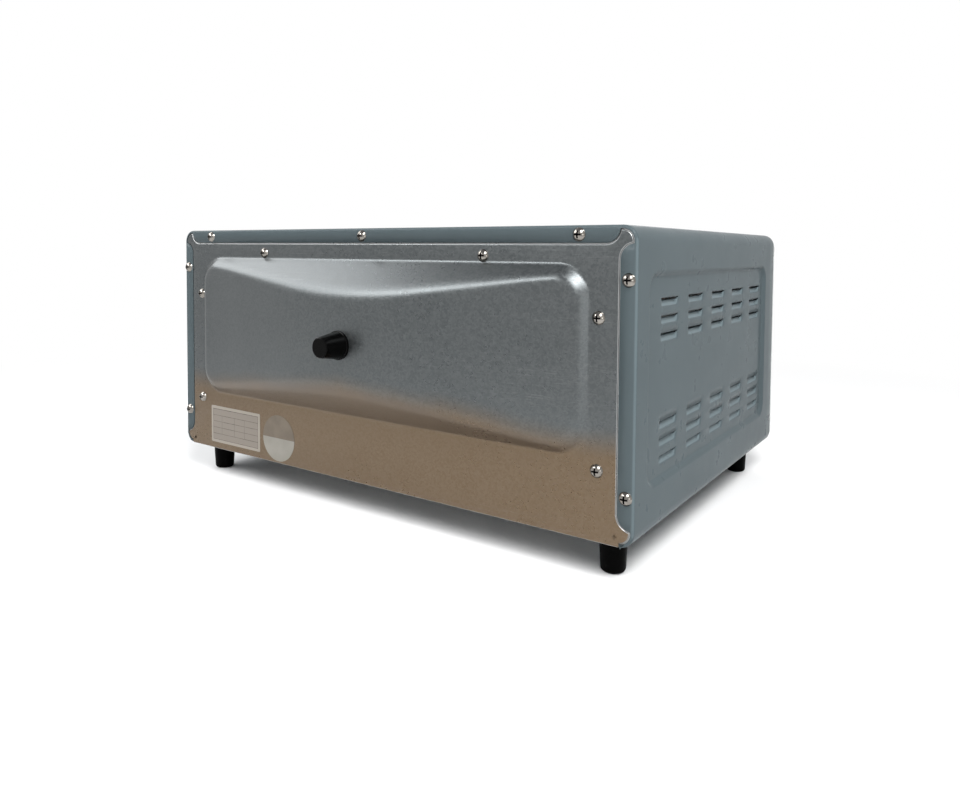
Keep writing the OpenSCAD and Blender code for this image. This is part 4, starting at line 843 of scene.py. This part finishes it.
# ---------------------------------------------------------------- labels
LABEL_T, LABEL_EDGE, LABEL_GAP = 0.15, 0.06, 0.01
PLATE_X, PLATE_Z, PLATE_W, PLATE_H, PLATE_R = 136.4, LOW_Z + 20.15, 59.8, 29.5, 1.0
STICKER_X, STICKER_Z, STICKER_R = 85.2, LOW_Z + 19.3, 17.5


def stand_on_panel(bm, x, z):
    """Turns a flat outline upright and sets it on the rear panel's face."""
    bmesh.ops.rotate(bm, verts=bm.verts, matrix=Matrix.Rotation(math.radians(90), 3, "X"))
    bmesh.ops.translate(bm, verts=bm.verts, vec=(x * MM, (REAR_Y + LABEL_GAP) * MM, z * MM))


def flat_label(name, bm, material):
    """Gives an upright outline the thickness of a label, with a softened front edge."""
    raised = bmesh.ops.extrude_face_region(bm, geom=list(bm.faces))["geom"]
    front = [g for g in raised if isinstance(g, bmesh.types.BMVert)]
    bmesh.ops.translate(bm, verts=front, vec=(0, LABEL_T * MM, 0))
    bmesh.ops.recalc_face_normals(bm, faces=bm.faces)
    rim = [e for e in bm.edges if all(v.co.y > (REAR_Y + LABEL_T / 2) * MM for v in e.verts)
           and len(e.link_faces) == 2 and e.calc_face_angle() > 1]
    bmesh.ops.bevel(bm, geom=rim, offset=LABEL_EDGE * MM, affect="EDGES", segments=1,
                    profile=0.5, material=-1)
    piece = new_piece(name, bm, material)
    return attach(piece, "housing")


def make_rating_label():
    bm = bmesh.new()
    bmesh.ops.create_grid(bm, x_segments=1, y_segments=1, size=0.5)
    bmesh.ops.scale(bm, verts=bm.verts, vec=(PLATE_W * MM, PLATE_H * MM, 1))
    bmesh.ops.bevel(bm, geom=list(bm.verts), offset=PLATE_R * MM, affect="VERTICES", segments=3,
                    profile=0.5, material=-1)
    stand_on_panel(bm, PLATE_X, PLATE_Z)
    centre, size = (PLATE_X * MM, PLATE_Z * MM), (PLATE_W * MM, PLATE_H * MM)
    flat_label("rating_label", bm, ruled_paper("ruled_paper", centre, size))


def make_round_label():
    bm = bmesh.new()
    bmesh.ops.create_circle(bm, cap_ends=True, segments=64, radius=STICKER_R * MM)
    stand_on_panel(bm, STICKER_X, STICKER_Z)
    flat_label("round_label", bm, two_tone_paper("two_tone_paper", STICKER_Z * MM))


make_rating_label()
make_round_label()


# ---------------------------------------------------------------- painted shade in the cross recesses of the rear screws
SCREW_HEAD_D, SCREW_HEAD_H = 8.0, 2.54
CROSS_LONG, CROSS_WIDE = SCREW_HEAD_D * 0.53, SCREW_HEAD_D * 0.125
CROSS_FLOOR, CROSS_FACE = REAR_Y + SCREW_HEAD_H * 0.46, REAR_Y + SCREW_HEAD_H * 0.8
REAR_SCREWS = [(0.0, 193.7)] + [(s * x, z) for s in (-1, 1) for x, z in (
    (165.0, 193.7), (195.0, 50.5), (195.0, 169.0), (100.3, 181.3), (177.6, 62.8), (177.6, 147.8))]


def make_recess_shade():
    """A thin black cross of painted shade on the floor of every cross recess, where the light doesn't reach."""
    bm = bmesh.new()
    for x, z in REAR_SCREWS:
        for w, h in ((CROSS_LONG, CROSS_WIDE), (CROSS_WIDE, CROSS_LONG)):
            bar = bmesh.ops.create_cube(bm, size=1)["verts"]
            bmesh.ops.scale(bm, verts=bar, vec=(w * MM, (CROSS_FACE - CROSS_FLOOR) * MM, h * MM))
            bmesh.ops.translate(bm, verts=bar, vec=(x * MM, (CROSS_FLOOR + CROSS_FACE) / 2 * MM, z * MM))
    # the black crosses are painted shade, not a part of the screws
    finish_piece("screw_recess_shade", bm, "black_matte")


make_recess_shade()


# ---------------------------------------------------------------- heater coils
COIL_R, COIL_WIRE_R, COIL_PITCH, COIL_STEPS, COIL_BARE_TURNS = 2.5, 0.35, 4.5, 10, 6
COIL_WIRE = hot_wire("hot_wire")


def make_coil(node):
    """Resistance wire wound along the inside of a quartz tube."""
    low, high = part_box(node)
    y, z = (low[1] + high[1]) / 2, (low[2] + high[2]) / 2
    turns = int((high[0] - low[0]) / MM / COIL_PITCH) - COIL_BARE_TURNS
    start = -turns * COIL_PITCH / 2
    bm = bmesh.new()
    ring = bmesh.ops.create_circle(bm, segments=5, radius=COIL_WIRE_R * MM)["verts"]
    bmesh.ops.rotate(bm, verts=ring, matrix=Matrix.Rotation(math.radians(90), 3, "Y"))
    bmesh.ops.rotate(bm, verts=ring, matrix=Matrix.Rotation(math.radians(90), 3, "Z"))
    bmesh.ops.translate(bm, verts=ring, vec=(start * MM, y, z + COIL_R * MM))
    steps = turns * COIL_STEPS
    bmesh.ops.spin(bm, geom=list(bm.verts) + list(bm.edges), cent=(0, y, z), axis=(1, 0, 0),
                   dvec=(COIL_PITCH / COIL_STEPS * MM, 0, 0), angle=turns * 2 * math.pi, steps=steps)
    bmesh.ops.holes_fill(bm, edges=bm.edges, sides=6)
    bmesh.ops.recalc_face_normals(bm, faces=bm.faces)
    piece = new_piece(node + "_coil", bm, COIL_WIRE)
    piece.data.shade_smooth()
    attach(piece, "housing")


for tube in ("heater_upper_front", "heater_upper_rear", "heater_lower_front", "heater_lower_rear"):
    make_coil(tube)


# ---------------------------------------------------------------- dial marks
TICKS = {"temperature_turn": 11, "function_turn": 5, "timer_turn": 11}
TICK_IN, TICK_OUT, TICK_LONGER, TICK_WIDTH, TICK_T = 18.2, 20.8, 1.2, 0.7, 0.06


def add_tick(bm, x, z, turn, far):
    """A tick at an angle round a knob's axis, clockwise from the top."""
    tick = bmesh.ops.create_cube(bm, size=1)["verts"]
    bmesh.ops.scale(bm, verts=tick, vec=(TICK_WIDTH * MM, TICK_T * MM, (far - TICK_IN) * MM))
    bmesh.ops.translate(bm, verts=tick, vec=(0, 0, (far + TICK_IN) / 2 * MM))
    bmesh.ops.rotate(bm, verts=tick, matrix=Matrix.Rotation(math.radians(turn), 3, "Y"))
    strip_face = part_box("control_strip")[0][1]
    bmesh.ops.translate(bm, verts=tick, vec=(x, strip_face - TICK_T / 2 * MM, z))


def make_dial_marks():
    """Plain ticks printed round each knob, over the range it turns; the first and last are longer."""
    bm = bmesh.new()
    for joint in frame["joints"]:
        count = TICKS.get(joint["name"], 0)
        for i in range(count):
            turn = joint["range_deg"][1] * i / (count - 1)
            far = TICK_OUT + (TICK_LONGER if i in (0, count - 1) else 0)
            add_tick(bm, joint["pos_m"][0], joint["pos_m"][2], turn, far)
    piece = new_piece("dial_marks", bm, moulded("dial_print", (0.62, 0.62, 0.60), 0.5))
    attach(piece, "housing")


make_dial_marks()


# ---------------------------------------------------------------- light, floor and backdrop
def area_light(name, place, aim, width, height, power):
    light = bpy.data.lights.new(name, "AREA")
    light.shape, light.size, light.size_y, light.energy = "RECTANGLE", width, height, power
    lamp = bpy.data.objects.new(name, light)
    lamp.location = place
    lamp.rotation_euler = (Vector(aim) - Vector(place)).to_track_quat("-Z", "Y").to_euler()
    bpy.context.scene.collection.objects.link(lamp)


def is_seen(w):
    """One for rays of the camera, of gloss and through glass."""
    path = w.add("ShaderNodeLightPath").outputs
    seen = w.math("MAXIMUM", path["Is Camera Ray"], path["Is Glossy Ray"])
    return w.math("MAXIMUM", seen, path["Is Transmission Ray"])


CEILING_FROM, CEILING_TO, CEILING = 0.35, 0.95, (0.42, 0.43, 0.45)
ROOM_LIGHT = (0.25, 0.257, 0.265)


def make_world():
    """White round the horizon, dimmer overhead; matt surfaces get a weaker, even light from it."""
    world = bpy.data.worlds.new("studio")
    bpy.context.scene.world = world
    world.use_nodes = True
    w = Wiring(world.node_tree)
    ray = w.add("ShaderNodeTexCoord").outputs["Generated"]
    height = w.add("ShaderNodeSeparateXYZ", {"Vector": ray}).outputs[2]
    seen = w.mix(w.remap(height, CEILING_FROM, CEILING_TO), (1, 1, 1, 1), (*CEILING, 1))
    backdrop = world.node_tree.nodes["Background"]
    w.put(backdrop.inputs["Color"], w.mix(is_seen(w), (*ROOM_LIGHT, 1), seen))


FLOOR_HALF, FLOOR_DROP, FLOOR_NEAR, FLOOR_FAR = 15, 0.0002, 0.32, 0.9


def floor_finish():
    """Off-white that turns into the white of the backdrop further out."""
    material, w, shader = new_finish("floor", rough=0.9, Specular_IOR_Level=0.0)
    two_tones(w, shader, (0.90, 0.90, 0.90), (0.92, 0.92, 0.92), 2)
    reach = w.add("ShaderNodeVectorMath", {0: w.place()}, operation="LENGTH").outputs["Value"]
    far = w.math("MULTIPLY", w.remap(reach, FLOOR_NEAR, FLOOR_FAR), is_seen(w))
    white = w.add("ShaderNodeEmission", {"Color": (1, 1, 1, 1), "Strength": 1.0})
    blend = w.add("ShaderNodeMixShader", {0: far})
    nodes = material.node_tree.nodes
    w.put(blend.inputs[1], nodes["Principled BSDF"].outputs[0])
    w.put(blend.inputs[2], white.outputs[0])
    w.put(nodes["Material Output"].inputs["Surface"], blend.outputs[0])
    return material


def make_floor():
    """Pale floor that takes the oven's shadow."""
    bm = bmesh.new()
    bmesh.ops.create_grid(bm, x_segments=1, y_segments=1, size=FLOOR_HALF)
    bmesh.ops.translate(bm, verts=bm.verts, vec=(0, 0, -FLOOR_DROP))
    floor = new_piece("floor", bm, floor_finish())


# name, place, aim, width, height, power: metres and watts
LAMPS = (
    ("key", (-0.68, 0.68, 0.86), (-0.1, 0.1, 0.14), 0.45, 0.45, 7.0),
    ("glint", (-0.64, 0.56, 1.06), (-0.165, 0.155, 0.166), 0.42, 0.42, 8.0),
    ("side", (-0.95, -0.1, 1.15), (-0.2, 0, 0.11), 0.5, 0.5, 6.0),
    ("crest", (0.48, 0.86, 0.81), (-0.1, 0.16, 0.166), 0.8, 0.3, 6.8),
    ("brow", (0.86, 0.30, 0.80), (0, 0.16, 0.166), 0.5, 0.55, 3.8),
    ("edge", (-0.95, 0.55, 0.16), (-0.17, 0.155, 0.12), 0.25, 0.3, 0.6),
    ("front_fill", (0.7, -1.3, 1.2), (0, -0.1, 0.1), 1.2, 0.8, 9.0),
)
make_world()
make_floor()
for lamp in LAMPS:
    area_light(*lamp)

bpy.context.scene.view_settings.view_transform = "Standard"
